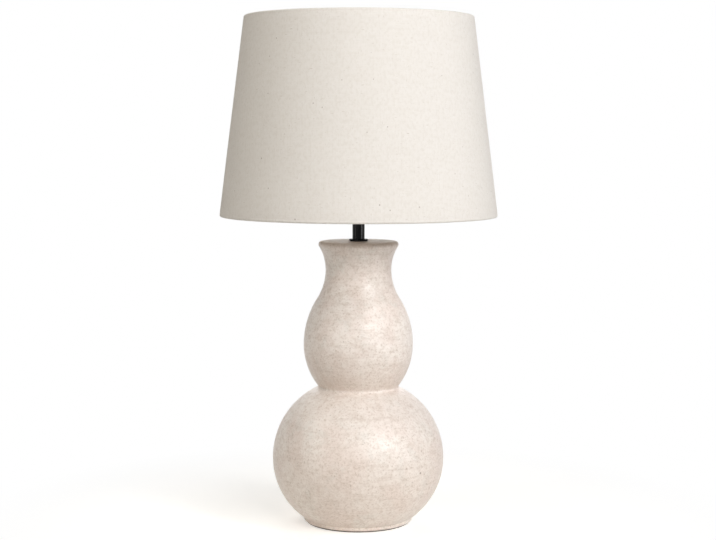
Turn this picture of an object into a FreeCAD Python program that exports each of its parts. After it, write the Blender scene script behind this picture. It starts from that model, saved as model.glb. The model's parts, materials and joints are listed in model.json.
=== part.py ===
# Double gourd table lamp: a hollow stoneware body in two swellings, a black stem and
# lampholder clamped to its neck by a threaded tube, and a tapered linen shade with
# rolled edges on a wire frame that turns on the lampholder.
# Millimetres, +Z up. The origin is at the centre of the felt's underside. The front
# looks along -Y, and the flex leaves through the grommet at the back, +Y.

import FreeCAD
import Part
import math
import os

# Felt and cover under the foot
felt_thickness = 1.5
felt_inset = 2.6
cover_thickness = 2.5
cover_ledge = 3.2

# Stoneware body: heights are above the underside of its foot, but the neck's drop is
# below the lip. The shoulder's share is how much of the S from the upper swelling to
# the neck is the outward arc, by radius.
wall = 6.0
body_height = 357.0
foot_radius = 69.3
foot_width = 11.0
foot_edge_radius = 2.5
lower_radius = 109.0
lower_height = 80.5
lower_under_arc = 92.0
lower_over_arc = 99.5
waist_fillet = 2.5
upper_radius = 69.4
upper_height = 226.0
upper_under_arc = 86.0
neck_radius = 41.6
neck_drop = 36.0
shoulder_share = 0.6186
lip_radius = 50.7
lip_edge_radius = 4.0
top_thickness = 8.0
rod_hole_radius = 5.6
core_flat = 10.0

# Grommet that lines the flex's way out, low at the back
inlet_height = 24.0
inlet_radius = 4.8
inlet_bore_radius = 3.3
inlet_collar_radius = 7.2
inlet_collar_height = 2.2
inlet_barb_radius = 6.2
inlet_barb_height = 2.0
inlet_barb_gap = 0.8

# Threaded tube and what it clamps
rod_radius = 5.0
rod_bore_radius = 3.7
rod_tail = 3.0
rod_end_above_boss = 1.5
rod_edge = 0.6
inner_gasket_radius = 15.0
inner_gasket_thickness = 2.0
clamp_washer_radius = 14.0
clamp_washer_thickness = 1.5
lock_washer_radius = 8.6
lock_washer_thickness = 0.9
lock_washer_teeth = 10
lock_tooth_depth = 1.5
lock_tooth_gap = 1.4
nut_across_flats = 14.0
nut_thickness = 4.0
nut_sides = 6
nut_chamfer = 0.7
neck_gasket_radius = 10.6
neck_gasket_thickness = 0.6
flange_radius = 11.9
flange_thickness = 2.4
flange_edge = 0.5
spigot_height = 3.0
stem_radius = 7.75
stem_wall = 1.2
stem_length = 46.5
sliding_gap = 0.1

# Lampholder: heights are above its lower end, where it sits on the stem
cap_radius = 20.0
cap_height = 22.0
cap_boss_radius = 9.5
cap_boss_height = 3.0
cap_shoulder_height = 12.5
cap_floor = 6.0
cap_chamber_radius = 15.0
cap_chamber_taper = 5.0
socket_depth = 4.0
socket_radius = 17.8
lock_screw_radius = 1.5
core_height = 8.0
core_edge = 0.8
terminal_spacing = 18.0
terminal_head_radius = 2.8
terminal_head_height = 2.0
terminal_shank_radius = 1.5
terminal_shank_length = 5.0
terminal_slot_width = 0.8
terminal_slot_depth = 0.9
shell_height = 33.0
shell_bore_radius = 16.2
shell_ledge = 1.6
shell_ledge_thickness = 1.5
shoulder_radius = 23.5
shoulder_drop = 1.0
shoulder_thickness = 3.0
shoulder_edge = 0.6
skirt_root_radius = 18.75
skirt_ridge = 1.0
skirt_pitch = 2.8
skirt_turns = 6
skirt_thread_gap = 0.8
skirt_lip_edge = 0.8

# Screw shell and centre contact of the lampholder
sleeve_height = 26.0
sleeve_radius = 14.1
sleeve_sheet = 0.5
sleeve_foot_bore = 9.4
lamp_pitch = 3.62
lamp_ridge = 1.05
lamp_turns = 4
lamp_clearance = 0.3
contact_height = 3.0
contact_width = 6.0
contact_thickness = 0.5
contact_foot = 5.0
contact_pad = 5.0
contact_slope = 3.0

# Clamp ring that holds the shade down
ring_height = 9.2
ring_radius = 26.5
ring_edge = 0.7
ring_clearance = 0.3
ring_gap = 0.3
ring_grips = 24
ring_grip_radius = 1.6
ring_grip_depth = 0.7

# Shade: radii are over the cloth, at the middle of each rolled edge
shade_height = 250.0
shade_bottom_radius = 175.0
shade_top_radius = 144.0
wire_radius = 1.6
cloth_thickness = 0.6
liner_thickness = 0.4
glue_line = 0.1
hem_return = 9.0
liner_gap = 0.2
roll_sides = 12
roll_sides_covered = 8

# Wire carrier between the shade's lower wire and the lampholder
carrier_rise = 44.0
carrier_bore_radius = 21.0
carrier_radius = 28.5
carrier_thickness = 1.6
carrier_arms = 3
arm_radius = 1.5
arm_bend = 12.0
arm_from_wall = 1.1
arm_weld_depth = 0.4
arm_weld_lap = 3.5

# Bulb: heights are above its centre contact
bulb_radius = 30.0
bulb_height = 110.0
bulb_tip_radius = 4.5
bulb_tip_height = 0.9
bulb_thread_start = 5.8
bulb_thread_radius = 13.2
bulb_cap_height = 24.5
bulb_insulator_height = 3.2
bulb_neck_radius = 14.4
bulb_neck_height = 30.0
bulb_cap_lap = 2.0

SAME_POINT = 1e-7
AXIS = FreeCAD.Vector(0, 0, 1)
ORIGIN = FreeCAD.Vector(0, 0, 0)


def at(radius, height):
    """A point of an outline, in the half plane to the right of the axis."""
    return FreeCAD.Vector(radius, 0, height)


def cos(degrees):
    return math.cos(math.radians(degrees))


def sin(degrees):
    return math.sin(math.radians(degrees))


def bearing(start, end):
    """The direction from one point to another, in degrees from straight out."""
    return math.degrees(math.atan2(end[1] - start[1], end[0] - start[0]))


def facing(start, end):
    """The same direction counted from 0 to 360, for arcs that look at the axis."""
    return bearing(start, end) % 360


def along(start, degrees, length):
    """The point that lies this far from another in that direction."""
    return (start[0] + length * cos(degrees), start[1] + length * sin(degrees))


class Outline:
    """A closed outline of lines and arcs, drawn from point to point and then turned."""

    def __init__(self, radius, height):
        self.first = at(radius, height)
        self.here = self.first
        self.edges = []

    def to(self, radius, height):
        """A straight stretch, left out where it would have no length."""
        end = at(radius, height)
        if self.here.distanceToPoint(end) > SAME_POINT:
            self.edges.append(Part.LineSegment(self.here, end).toShape())
            self.here = end
        return self

    def arc(self, centre, radius, start, end):
        """A round stretch from one angle to another, led up to by a straight one."""
        self.to(*along(centre, start, radius))
        middle = at(*along(centre, (start + end) / 2, radius))
        last = at(*along(centre, end, radius))
        self.edges.append(Part.Arc(self.here, middle, last).toShape())
        self.here = last
        return self

    def flats(self, centre, radius, start, end, widest):
        """A round stretch drawn as chords, none spanning more degrees than the widest."""
        count = math.ceil(abs(end - start) / widest - SAME_POINT)
        for step in range(count + 1):
            self.to(*along(centre, start + (end - start) * step / count, radius))
        return self

    def ridges(self, count, pitch, depth):
        """A thread's turns drawn as level rings, each a pitch high and this deep."""
        for _ in range(count):
            root, height = self.here.x, self.here.z
            self.to(root + depth, height + pitch / 2)
            self.to(root, height + pitch)
        return self

    def face(self):
        self.to(self.first.x, self.first.z)
        return Part.Face(Part.Wire(self.edges))

    def turned(self):
        """The solid that the outline sweeps in a full turn about Z."""
        return outward(self.face().revolve(ORIGIN, AXIS, 360))


def outward(shape):
    """The shape as one solid whose faces point out of it."""
    solid = shape.Solids[0]
    if solid.Volume < 0:
        solid.reverse()
    return solid


def washer(bore, radius, bottom, top, edge=0.0):
    """A flat ring, with its outer edges broken where an edge is given."""
    return (
        Outline(bore, bottom)
        .to(radius - edge, bottom)
        .to(radius, bottom + edge)
        .to(radius, top - edge)
        .to(radius - edge, top)
        .to(bore, top)
        .turned()
    )


def turned_copies(shape, count, first=0.0):
    """Copies of a shape at even angles about Z."""
    copies = []
    for number in range(count):
        copy = shape.copy()
        copy.rotate(ORIGIN, AXIS, first + number * 360.0 / count)
        copies.append(copy)
    return copies


# Heights of the stack, from the felt up
foot_z = felt_thickness
body_top_z = foot_z + body_height
ceiling_z = body_top_z - top_thickness
flange_z = body_top_z + neck_gasket_thickness
stem_z = flange_z + flange_thickness
holder_z = stem_z + stem_length
cap_top_z = holder_z + cap_height
ledge_z = cap_top_z - socket_depth
core_top_z = ledge_z + core_height
shoulder_z = cap_top_z + shoulder_drop + shoulder_thickness
skirt_thread_z = shoulder_z + skirt_thread_gap
carrier_top_z = shoulder_z + carrier_thickness
ring_z = carrier_top_z + ring_gap
bulb_z = core_top_z + contact_height
lamp_thread_z = bulb_z + bulb_thread_start
inner_gasket_z = ceiling_z - inner_gasket_thickness
clamp_washer_z = inner_gasket_z - clamp_washer_thickness
lock_washer_z = clamp_washer_z - lock_washer_thickness
nut_z = lock_washer_z - nut_thickness

# Arcs of the body's outline: the centre of each, as radius and height
lower_z = foot_z + lower_height
upper_z = foot_z + upper_height
neck_z = body_top_z - neck_drop
lower_under = (lower_radius - lower_under_arc, lower_z)
lower_over = (lower_radius - lower_over_arc, lower_z)
upper_under = (upper_radius - upper_under_arc, upper_z)
swell = upper_radius - neck_radius
both_arcs = (swell**2 + (neck_z - upper_z) ** 2) / (2 * swell)
upper_over_arc = both_arcs * shoulder_share
neck_under_arc = both_arcs - upper_over_arc
upper_over = (upper_radius - upper_over_arc, upper_z)
neck_under = (neck_radius + neck_under_arc, neck_z)
lip = (lip_radius - lip_edge_radius, body_top_z - lip_edge_radius)
flare = lip_radius - neck_radius
neck_over_arc = (
    (flare - lip_edge_radius) ** 2 + (lip[1] - neck_z) ** 2 - lip_edge_radius**2
) / (2 * flare)
neck_over = (neck_radius + neck_over_arc, neck_z)


def outer_crossing(centre_a, reach_a, centre_b, reach_b):
    """Where two circles cross, on the side away from the axis."""
    apart = math.dist(centre_a, centre_b)
    along_line = (reach_a**2 - reach_b**2 + apart**2) / (2 * apart)
    off_line = math.sqrt(reach_a**2 - along_line**2)
    line = bearing(centre_a, centre_b)
    return along(along(centre_a, line, along_line), line - 90, off_line)


waist = outer_crossing(
    lower_over, lower_over_arc + waist_fillet, upper_under, upper_under_arc + waist_fillet
)


def under_angle(radius, inset):
    """Where the lower swelling's underside, or its wall this far in, has a radius."""
    return -math.degrees(math.acos((radius - lower_under[0]) / (lower_under_arc - inset)))


def swellings(inset, foot):
    """The body's arcs from the foot up to the neck, drawn this far inside its skin."""
    return [
        (lower_under, lower_under_arc - inset, under_angle(foot, inset), 0),
        (lower_over, lower_over_arc - inset, 0, bearing(lower_over, waist)),
        (
            waist,
            waist_fillet + inset,
            facing(waist, lower_over),
            facing(waist, upper_under),
        ),
        (upper_under, upper_under_arc - inset, bearing(upper_under, waist), 0),
        (upper_over, upper_over_arc - inset, 0, bearing(upper_over, neck_under)),
        (neck_under, neck_under_arc + inset, facing(neck_under, upper_over), 180),
    ]


def body_solid():
    """The hollow stoneware before the inlet is drilled, open at its foot.

    The skin is in true arcs. The inside, which nobody sees, follows it in flats.
    """
    opening = foot_radius - foot_width
    rebate = opening + cover_ledge
    ceiling_angle = 180 - math.degrees(
        math.asin((ceiling_z - neck_z) / (neck_over_arc + wall))
    )
    outline = Outline(rebate, foot_z)
    outline.arc(
        (foot_radius - foot_edge_radius, foot_z + foot_edge_radius),
        foot_edge_radius,
        -90,
        0,
    )
    for centre, radius, start, end in swellings(0, foot_radius):
        outline.arc(centre, radius, start, end)
    outline.arc(neck_over, neck_over_arc, 180, bearing(neck_over, lip))
    outline.arc(lip, lip_edge_radius, bearing(lip, neck_over), 90)
    outline.to(rod_hole_radius, body_top_z)
    outline.to(rod_hole_radius, ceiling_z)
    outline.flats(neck_over, neck_over_arc + wall, ceiling_angle, 180, core_flat)
    for centre, radius, start, end in reversed(swellings(wall, opening)):
        outline.flats(centre, radius, end, start, core_flat)
    outline.to(opening, foot_z + cover_thickness)
    outline.to(rebate, foot_z + cover_thickness)
    return outline.turned()


def inlet_placement():
    """Moves a piece drawn about Z, with its skin at zero, to the inlet, square to it."""
    angle = math.degrees(math.asin((inlet_height - lower_height) / lower_under_arc))
    radius, height = along(lower_under, angle, lower_under_arc)
    turn = FreeCAD.Rotation(AXIS, FreeCAD.Vector(0, cos(angle), sin(angle)))
    return FreeCAD.Placement(FreeCAD.Vector(0, radius, height), turn)


def gourd_body():
    drill = Part.makeCylinder(inlet_radius, 3 * wall, FreeCAD.Vector(0, 0, -2 * wall))
    drill.Placement = inlet_placement().multiply(drill.Placement)
    return outward(body_solid().cut(drill))


def cord_grommet():
    """A rubber bush, its collar against the skin and its barb sprung open inside."""
    barb = -wall - inlet_barb_gap
    bush = (
        Outline(inlet_bore_radius, barb - inlet_barb_height)
        .to(inlet_radius, barb - inlet_barb_height)
        .to(inlet_barb_radius, barb)
        .to(inlet_radius, barb)
        .to(inlet_radius, 0)
        .to(inlet_collar_radius, 0)
        .to(inlet_collar_radius, inlet_collar_height / 2)
        .to(inlet_radius, inlet_collar_height)
        .to(inlet_bore_radius, inlet_collar_height)
        .turned()
    )
    bush.Placement = inlet_placement()
    return bush


def base_cover():
    """The board that closes the foot, let into its ledge."""
    radius = foot_radius - foot_width + cover_ledge - sliding_gap
    return Part.makeCylinder(radius, cover_thickness, FreeCAD.Vector(0, 0, foot_z))


def felt_pad():
    return Part.makeCylinder(foot_radius - felt_inset, felt_thickness)


def threaded_rod():
    """The tube that clamps the body and carries the wires up to the lampholder."""
    bottom = nut_z - rod_tail
    top = holder_z + cap_floor + rod_end_above_boss
    return washer(rod_bore_radius, rod_radius, bottom, top, rod_edge)


def inner_gasket():
    return washer(rod_radius, inner_gasket_radius, inner_gasket_z, ceiling_z)


def clamp_washer():
    return washer(rod_radius, clamp_washer_radius, clamp_washer_z, inner_gasket_z)


def lock_washer():
    """A star washer: teeth round its rim, parted by narrow gaps."""
    star = washer(rod_radius, lock_washer_radius, lock_washer_z, clamp_washer_z)
    gap = Part.makeBox(
        2 * lock_tooth_depth,
        lock_tooth_gap,
        lock_washer_thickness,
        FreeCAD.Vector(
            lock_washer_radius - lock_tooth_depth, -lock_tooth_gap / 2, lock_washer_z
        ),
    )
    for cut in turned_copies(gap, lock_washer_teeth):
        star = star.cut(cut)
    return outward(star)


def rod_nut():
    """A thin hexagon nut with its corners turned off at the lower face."""
    flat = nut_across_flats / 2
    side = 360 / nut_sides
    corner = flat / cos(side / 2)
    points = [
        FreeCAD.Vector(corner * cos(side * k), corner * sin(side * k), nut_z)
        for k in range(nut_sides + 1)
    ]
    block = Part.Face(Part.makePolygon(points)).extrude(
        FreeCAD.Vector(0, 0, nut_thickness)
    )
    blank = (
        Outline(rod_radius, nut_z)
        .to(flat, nut_z)
        .to(corner, nut_z + nut_chamfer)
        .to(corner, lock_washer_z)
        .to(rod_radius, lock_washer_z)
        .turned()
    )
    return outward(block.common(blank))


def neck_gasket():
    return washer(rod_radius, neck_gasket_radius, body_top_z, flange_z)


def neck_flange():
    """The black rose on the neck, with a spigot that centres the stem."""
    spigot = stem_radius - stem_wall - sliding_gap
    return (
        Outline(rod_radius, flange_z)
        .to(flange_radius, flange_z)
        .to(flange_radius, stem_z - flange_edge)
        .to(flange_radius - flange_edge, stem_z)
        .to(spigot, stem_z)
        .to(spigot, stem_z + spigot_height)
        .to(rod_radius, stem_z + spigot_height)
        .turned()
    )


def stem_tube():
    return washer(stem_radius - stem_wall, stem_radius, stem_z, holder_z)


def lock_screw_hole(reach):
    """A hole or screw across the cap's boss, from the rod outwards at the back."""
    height = holder_z + (cap_boss_height + rod_edge) / 2
    return Part.makeCylinder(
        lock_screw_radius,
        reach,
        FreeCAD.Vector(0, rod_radius, height),
        FreeCAD.Vector(0, 1, 0),
    )


def holder_cap():
    """The lower half of the lampholder, with its wiring chamber."""
    floor_z = holder_z + cap_floor
    turned = (
        Outline(rod_radius, holder_z)
        .to(cap_boss_radius, holder_z)
        .to(cap_boss_radius, holder_z + cap_boss_height)
        .to(cap_radius, holder_z + cap_shoulder_height)
        .to(cap_radius, cap_top_z)
        .to(socket_radius, cap_top_z)
        .to(socket_radius, ledge_z)
        .to(cap_chamber_radius, ledge_z)
        .to(cap_chamber_radius, floor_z + cap_chamber_taper)
        .to(cap_chamber_radius - cap_chamber_taper, floor_z)
        .to(rod_radius, floor_z)
        .turned()
    )
    return outward(turned.cut(lock_screw_hole(cap_radius)))


def holder_lock_screw():
    return lock_screw_hole(cap_boss_radius - rod_radius)


def terminal_screws():
    """Two cheese-head screws under the insulating core, slots across their heads."""
    screws = []
    for side in (-1, 1):
        x = side * terminal_spacing / 2
        head_z = ledge_z - terminal_head_height
        head = Part.makeCylinder(
            terminal_head_radius, terminal_head_height, FreeCAD.Vector(x, 0, head_z)
        )
        shank = Part.makeCylinder(
            terminal_shank_radius, terminal_shank_length, FreeCAD.Vector(x, 0, ledge_z)
        )
        slot = Part.makeBox(
            2 * terminal_head_radius,
            terminal_slot_width,
            terminal_slot_depth,
            FreeCAD.Vector(x - terminal_head_radius, -terminal_slot_width / 2, head_z),
        )
        screws.append(outward(head.fuse(shank).cut(slot)))
    return Part.makeCompound(screws)


def holder_core():
    """The insulating puck that carries the contacts."""
    puck = washer(0, shell_bore_radius - sliding_gap, ledge_z, core_top_z, core_edge)
    return outward(puck.cut(terminal_screws()))


def holder_shell():
    """The skirt: a shoulder for the shade, a coarse thread and a plain mouth."""
    top = cap_top_z + shell_height
    lug = socket_radius - sliding_gap
    return (
        Outline(shell_bore_radius, ledge_z)
        .to(lug, ledge_z)
        .to(lug, cap_top_z)
        .to(cap_radius, cap_top_z)
        .to(cap_radius, cap_top_z + shoulder_drop)
        .to(shoulder_radius - shoulder_edge, cap_top_z + shoulder_drop)
        .to(shoulder_radius, cap_top_z + shoulder_drop + shoulder_edge)
        .to(shoulder_radius, shoulder_z - shoulder_edge)
        .to(shoulder_radius - shoulder_edge, shoulder_z)
        .to(skirt_root_radius, shoulder_z)
        .to(skirt_root_radius, skirt_thread_z)
        .ridges(skirt_turns, skirt_pitch, skirt_ridge)
        .to(skirt_root_radius, top - skirt_lip_edge)
        .to(skirt_root_radius - skirt_lip_edge, top)
        .to(shell_bore_radius, top)
        .to(shell_bore_radius, core_top_z + shell_ledge_thickness)
        .to(shell_bore_radius - shell_ledge, core_top_z + shell_ledge_thickness)
        .to(shell_bore_radius - shell_ledge, core_top_z)
        .to(shell_bore_radius, core_top_z)
        .turned()
    )


def screw_shell():
    """The threaded metal sleeve that the bulb's cap screws into."""
    top = core_top_z + sleeve_height
    root = bulb_thread_radius + lamp_clearance
    outline = (
        Outline(sleeve_foot_bore, core_top_z)
        .to(sleeve_radius, core_top_z)
        .to(sleeve_radius, top)
        .to(root, top)
        .to(root, lamp_thread_z + lamp_turns * lamp_pitch)
    )
    return (
        outline.ridges(lamp_turns, -lamp_pitch, -lamp_ridge)
        .to(root, core_top_z + sleeve_sheet)
        .to(sleeve_foot_bore, core_top_z + sleeve_sheet)
        .turned()
    )


def centre_contact():
    """A bent spring strip that presses on the tip of the bulb."""
    left = -contact_pad / 2 - contact_slope
    pad = contact_pad / 2
    profile = [
        (left - contact_foot / 2, core_top_z),
        (left, core_top_z),
        (-pad, bulb_z - contact_thickness),
        (pad, bulb_z - contact_thickness),
        (pad + contact_slope / 2, bulb_z - contact_height / 2),
        (pad + contact_slope / 2 + contact_thickness, bulb_z - contact_height / 2),
        (pad + contact_thickness / 2, bulb_z),
        (-pad - contact_thickness / 2, bulb_z),
        (left - contact_thickness / 2, core_top_z + contact_thickness),
        (left - contact_foot / 2, core_top_z + contact_thickness),
    ]
    points = [FreeCAD.Vector(x, -contact_width / 2, z) for x, z in profile]
    strip = Part.Face(Part.makePolygon(points + points[:1]))
    return outward(strip.extrude(FreeCAD.Vector(0, contact_width, 0)))


def clamp_ring():
    """The ring that screws down on the carrier, scalloped for the fingers."""
    top = ring_z + ring_height
    crest = skirt_root_radius + skirt_ridge + ring_clearance
    first = math.ceil((ring_z - skirt_thread_z) / skirt_pitch + 0.5)
    last = math.floor((top - skirt_thread_z) / skirt_pitch - 0.5)
    ring = (
        Outline(crest, ring_z)
        .to(ring_radius - ring_edge, ring_z)
        .to(ring_radius, ring_z + ring_edge)
        .to(ring_radius, top - ring_edge)
        .to(ring_radius - ring_edge, top)
        .to(crest, top)
        .to(crest, skirt_thread_z + (last + 0.5) * skirt_pitch)
        .ridges(last - first + 1, -skirt_pitch, -skirt_ridge)
        .turned()
    )
    reach = ring_radius + ring_grip_radius - ring_grip_depth
    scallop = Part.makeCylinder(
        ring_grip_radius, ring_height, FreeCAD.Vector(reach, 0, ring_z)
    )
    for cut in turned_copies(scallop, ring_grips):
        ring = ring.cut(cut)
    return outward(ring)


# The shade's frame: each wire's centre, and the wall's slope between them. The wall's
# layers lie outwards from the line between the wires: cloth, liner and cloth again.
shade_bottom_z = shoulder_z - carrier_rise
shade_top_z = shade_bottom_z + shade_height
roll = wire_radius + cloth_thickness
roll_flat = 360 / roll_sides
roll_turn = roll_flat * roll_sides_covered
wrap_angle = roll_turn - 180
bottom_wire_at = (shade_bottom_radius - roll, shade_bottom_z + roll)
top_wire_at = (shade_top_radius - roll, shade_top_z - roll)
wall_up = bearing(bottom_wire_at, top_wire_at)
wall_out = wall_up - 90
liner_outside = wire_radius - glue_line
liner_inside = liner_outside - liner_thickness
return_outside = liner_inside - glue_line
return_inside = return_outside - cloth_thickness


def on_wall(wire, up, out):
    """A point this far up the wall from a wire's centre, and this far out from it."""
    return along(along(wire, wall_up, up), wall_out, out)


def wire_ring(centre):
    """A wire hoop, its section drawn in the same flats as the cloth rolled round it."""
    hoop = Outline(*along(centre, wall_out, wire_radius))
    hoop.flats(centre, wire_radius, wall_out, wall_out + 360, roll_flat)
    return hoop.turned()


def bottom_wire():
    return wire_ring(bottom_wire_at)


def top_wire():
    return wire_ring(top_wire_at)


def hem_run(reach, out):
    """How far up the wall the wrapped cloth has come when it is this far out again."""
    steps_out = out + reach * cos(wrap_angle)
    return reach * sin(wrap_angle) + steps_out / math.tan(math.radians(wrap_angle))


def rolled_cloth():
    """The cloth: one wall whose edges wrap round the wires and tuck behind the liner."""
    far = hem_run(wire_radius, return_outside) + hem_return
    start = wall_out
    outline = Outline(*on_wall(bottom_wire_at, 0, roll))
    outline.flats(top_wire_at, roll, start, start + roll_turn, roll_flat)
    outline.to(*on_wall(top_wire_at, -hem_run(roll, return_inside), return_inside))
    outline.to(*on_wall(top_wire_at, -far, return_inside))
    outline.to(*on_wall(top_wire_at, -far, return_outside))
    run = hem_run(wire_radius, return_outside)
    outline.to(*on_wall(top_wire_at, -run, return_outside))
    outline.flats(top_wire_at, wire_radius, start + roll_turn, start, roll_flat)
    outline.flats(bottom_wire_at, wire_radius, start, start - roll_turn, roll_flat)
    outline.to(*on_wall(bottom_wire_at, run, return_outside))
    outline.to(*on_wall(bottom_wire_at, far, return_outside))
    outline.to(*on_wall(bottom_wire_at, far, return_inside))
    outline.to(*on_wall(bottom_wire_at, hem_run(roll, return_inside), return_inside))
    outline.flats(bottom_wire_at, roll, start - roll_turn, start, roll_flat)
    return outline.turned()


def shade_cover():
    """The linen, slit at its lower roll where the carrier's arms come through."""
    cloth = rolled_cloth()
    for arm in bent_arms():
        cloth = cloth.cut(arm)
    return outward(cloth)


def shade_liner():
    """The stiff white sheet that the linen is laminated to."""
    end = wire_radius + liner_gap
    return (
        Outline(*on_wall(bottom_wire_at, end, liner_inside))
        .to(*on_wall(bottom_wire_at, end, liner_outside))
        .to(*on_wall(top_wire_at, -end, liner_outside))
        .to(*on_wall(top_wire_at, -end, liner_inside))
        .turned()
    )


def carrier_ring():
    return washer(carrier_bore_radius, carrier_radius, shoulder_z, carrier_top_z)


def bent_arms():
    """The arms: each climbs beside the wall, bends, and runs in under the ring."""
    level = shoulder_z - arm_radius + arm_weld_depth
    start = on_wall(bottom_wire_at, 0, -arm_from_wall)
    corner = along(start, wall_up, (level - start[1]) / sin(wall_up))
    tangent = arm_bend * math.tan(math.radians((180 - wall_up) / 2))
    centre = along(along(corner, 180, tangent), -90, arm_bend)
    end = (carrier_radius - arm_weld_lap, level)
    path = Outline(*start)
    path.arc(centre, arm_bend, wall_out, 90)
    path.to(*end)
    upwards = FreeCAD.Vector(cos(wall_up), 0, sin(wall_up))
    profile = Part.Wire(Part.makeCircle(arm_radius, at(*start), upwards))
    rod = outward(Part.Wire(path.edges).makePipeShell([profile], True, False))
    return turned_copies(rod, carrier_arms, 90)


def carrier_arms_welded():
    """The arms with their ends cut to the wire and the ring that they are welded to."""
    arms = []
    for arm in bent_arms():
        arms.append(outward(arm.cut(bottom_wire()).cut(carrier_ring())))
    return Part.makeCompound(arms)


def bulb_tip():
    return Part.makeCylinder(
        bulb_tip_radius, bulb_tip_height, FreeCAD.Vector(0, 0, bulb_z)
    )


def bulb_insulator():
    """The glass cone between the tip and the cap."""
    bottom = bulb_z + bulb_tip_height
    root = bulb_thread_radius - lamp_ridge
    return (
        Outline(0, bottom)
        .to(bulb_tip_radius, bottom)
        .to(root, bottom + bulb_insulator_height)
        .to(0, bottom + bulb_insulator_height)
        .turned()
    )


def bulb_cap():
    """The screw cap, its ridges in step with the lampholder's sleeve."""
    bottom = bulb_z + bulb_tip_height + bulb_insulator_height
    root = bulb_thread_radius - lamp_ridge
    top = bulb_z + bulb_cap_height
    half = lamp_pitch / 2
    outline = Outline(0, bottom).to(root, bottom).to(root, lamp_thread_z - half)
    outline.ridges(lamp_turns, lamp_pitch, lamp_ridge)
    outline.to(bulb_thread_radius, lamp_thread_z + lamp_turns * lamp_pitch)
    outline.to(bulb_thread_radius, top)
    return outline.to(0, top).turned()


def globe_and_seam():
    """The globe's centre, and where the collar's cone touches the globe."""
    globe = (0, bulb_z + bulb_height - bulb_radius)
    neck = (bulb_neck_radius, bulb_z + bulb_neck_height)
    apart = math.dist(globe, neck)
    lean = facing(neck, globe) - math.degrees(math.asin(bulb_radius / apart))
    return globe, along(neck, lean, math.sqrt(apart**2 - bulb_radius**2))


def bulb_housing():
    """The white collar: a short neck, then a cone that runs out onto the globe."""
    seam = globe_and_seam()[1]
    bottom = bulb_z + bulb_cap_height
    return (
        Outline(0, bottom)
        .to(bulb_thread_radius, bottom)
        .to(bulb_neck_radius, bottom + bulb_cap_lap)
        .to(bulb_neck_radius, bulb_z + bulb_neck_height)
        .to(*seam)
        .to(0, seam[1])
        .turned()
    )


def bulb_globe():
    """The opal dome, tangent to its collar."""
    globe, seam = globe_and_seam()
    outline = Outline(0, seam[1])
    return outline.arc(globe, bulb_radius, bearing(globe, seam), 90).turned()


PARTS = {
    "gourd_body": gourd_body,
    "base_cover": base_cover,
    "felt_pad": felt_pad,
    "cord_grommet": cord_grommet,
    "threaded_rod": threaded_rod,
    "inner_gasket": inner_gasket,
    "clamp_washer": clamp_washer,
    "lock_washer": lock_washer,
    "rod_nut": rod_nut,
    "neck_gasket": neck_gasket,
    "neck_flange": neck_flange,
    "stem_tube": stem_tube,
    "holder_cap": holder_cap,
    "holder_lock_screw": holder_lock_screw,
    "holder_core": holder_core,
    "terminal_screws": terminal_screws,
    "holder_shell": holder_shell,
    "screw_shell": screw_shell,
    "centre_contact": centre_contact,
    "clamp_ring": clamp_ring,
    "shade_cover": shade_cover,
    "shade_liner": shade_liner,
    "top_wire": top_wire,
    "bottom_wire": bottom_wire,
    "carrier_ring": carrier_ring,
    "carrier_arms": carrier_arms_welded,
    "bulb_tip": bulb_tip,
    "bulb_insulator": bulb_insulator,
    "bulb_cap": bulb_cap,
    "bulb_housing": bulb_housing,
    "bulb_globe": bulb_globe,
}

os.makedirs("parts", exist_ok=True)
for name, build in PARTS.items():
    build().exportStep("parts/" + name + ".step")
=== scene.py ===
"""Double gourd table lamp: its looks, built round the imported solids.

Everything is in metres in the frame of the solids: +Z is up, the front looks along -Y,
and the origin is at the centre of the felt's underside.
"""

import json
import logging
import math
from dataclasses import dataclass
from enum import Enum
from typing import Optional, Sequence, Union

import bmesh
import bpy
from bmesh.types import BMesh, BMVert
from mathutils import Matrix, Vector, noise

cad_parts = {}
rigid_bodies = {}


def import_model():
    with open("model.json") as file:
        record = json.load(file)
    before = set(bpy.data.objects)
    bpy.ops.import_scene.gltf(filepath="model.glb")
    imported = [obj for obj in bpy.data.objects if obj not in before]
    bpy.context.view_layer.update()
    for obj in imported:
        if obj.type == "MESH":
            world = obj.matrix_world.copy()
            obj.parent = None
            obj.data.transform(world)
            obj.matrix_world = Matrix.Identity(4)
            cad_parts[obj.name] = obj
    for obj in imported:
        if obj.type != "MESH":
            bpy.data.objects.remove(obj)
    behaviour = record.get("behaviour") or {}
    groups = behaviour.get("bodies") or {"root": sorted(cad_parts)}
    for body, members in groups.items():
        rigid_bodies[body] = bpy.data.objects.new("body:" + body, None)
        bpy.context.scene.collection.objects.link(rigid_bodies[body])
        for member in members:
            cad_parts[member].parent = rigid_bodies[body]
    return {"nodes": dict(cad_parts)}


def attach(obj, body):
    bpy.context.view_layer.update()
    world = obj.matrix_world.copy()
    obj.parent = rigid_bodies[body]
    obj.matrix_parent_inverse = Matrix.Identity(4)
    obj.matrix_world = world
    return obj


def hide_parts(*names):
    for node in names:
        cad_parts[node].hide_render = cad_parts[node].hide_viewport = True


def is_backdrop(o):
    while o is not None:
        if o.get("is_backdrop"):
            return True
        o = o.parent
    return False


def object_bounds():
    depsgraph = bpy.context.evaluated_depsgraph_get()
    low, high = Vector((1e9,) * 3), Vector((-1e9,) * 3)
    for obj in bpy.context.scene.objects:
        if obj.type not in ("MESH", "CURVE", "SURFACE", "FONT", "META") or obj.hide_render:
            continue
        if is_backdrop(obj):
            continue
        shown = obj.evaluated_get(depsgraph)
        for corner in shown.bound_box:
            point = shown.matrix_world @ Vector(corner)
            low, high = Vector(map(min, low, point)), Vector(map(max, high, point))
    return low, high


logger = logging.getLogger("lamp")

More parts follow.
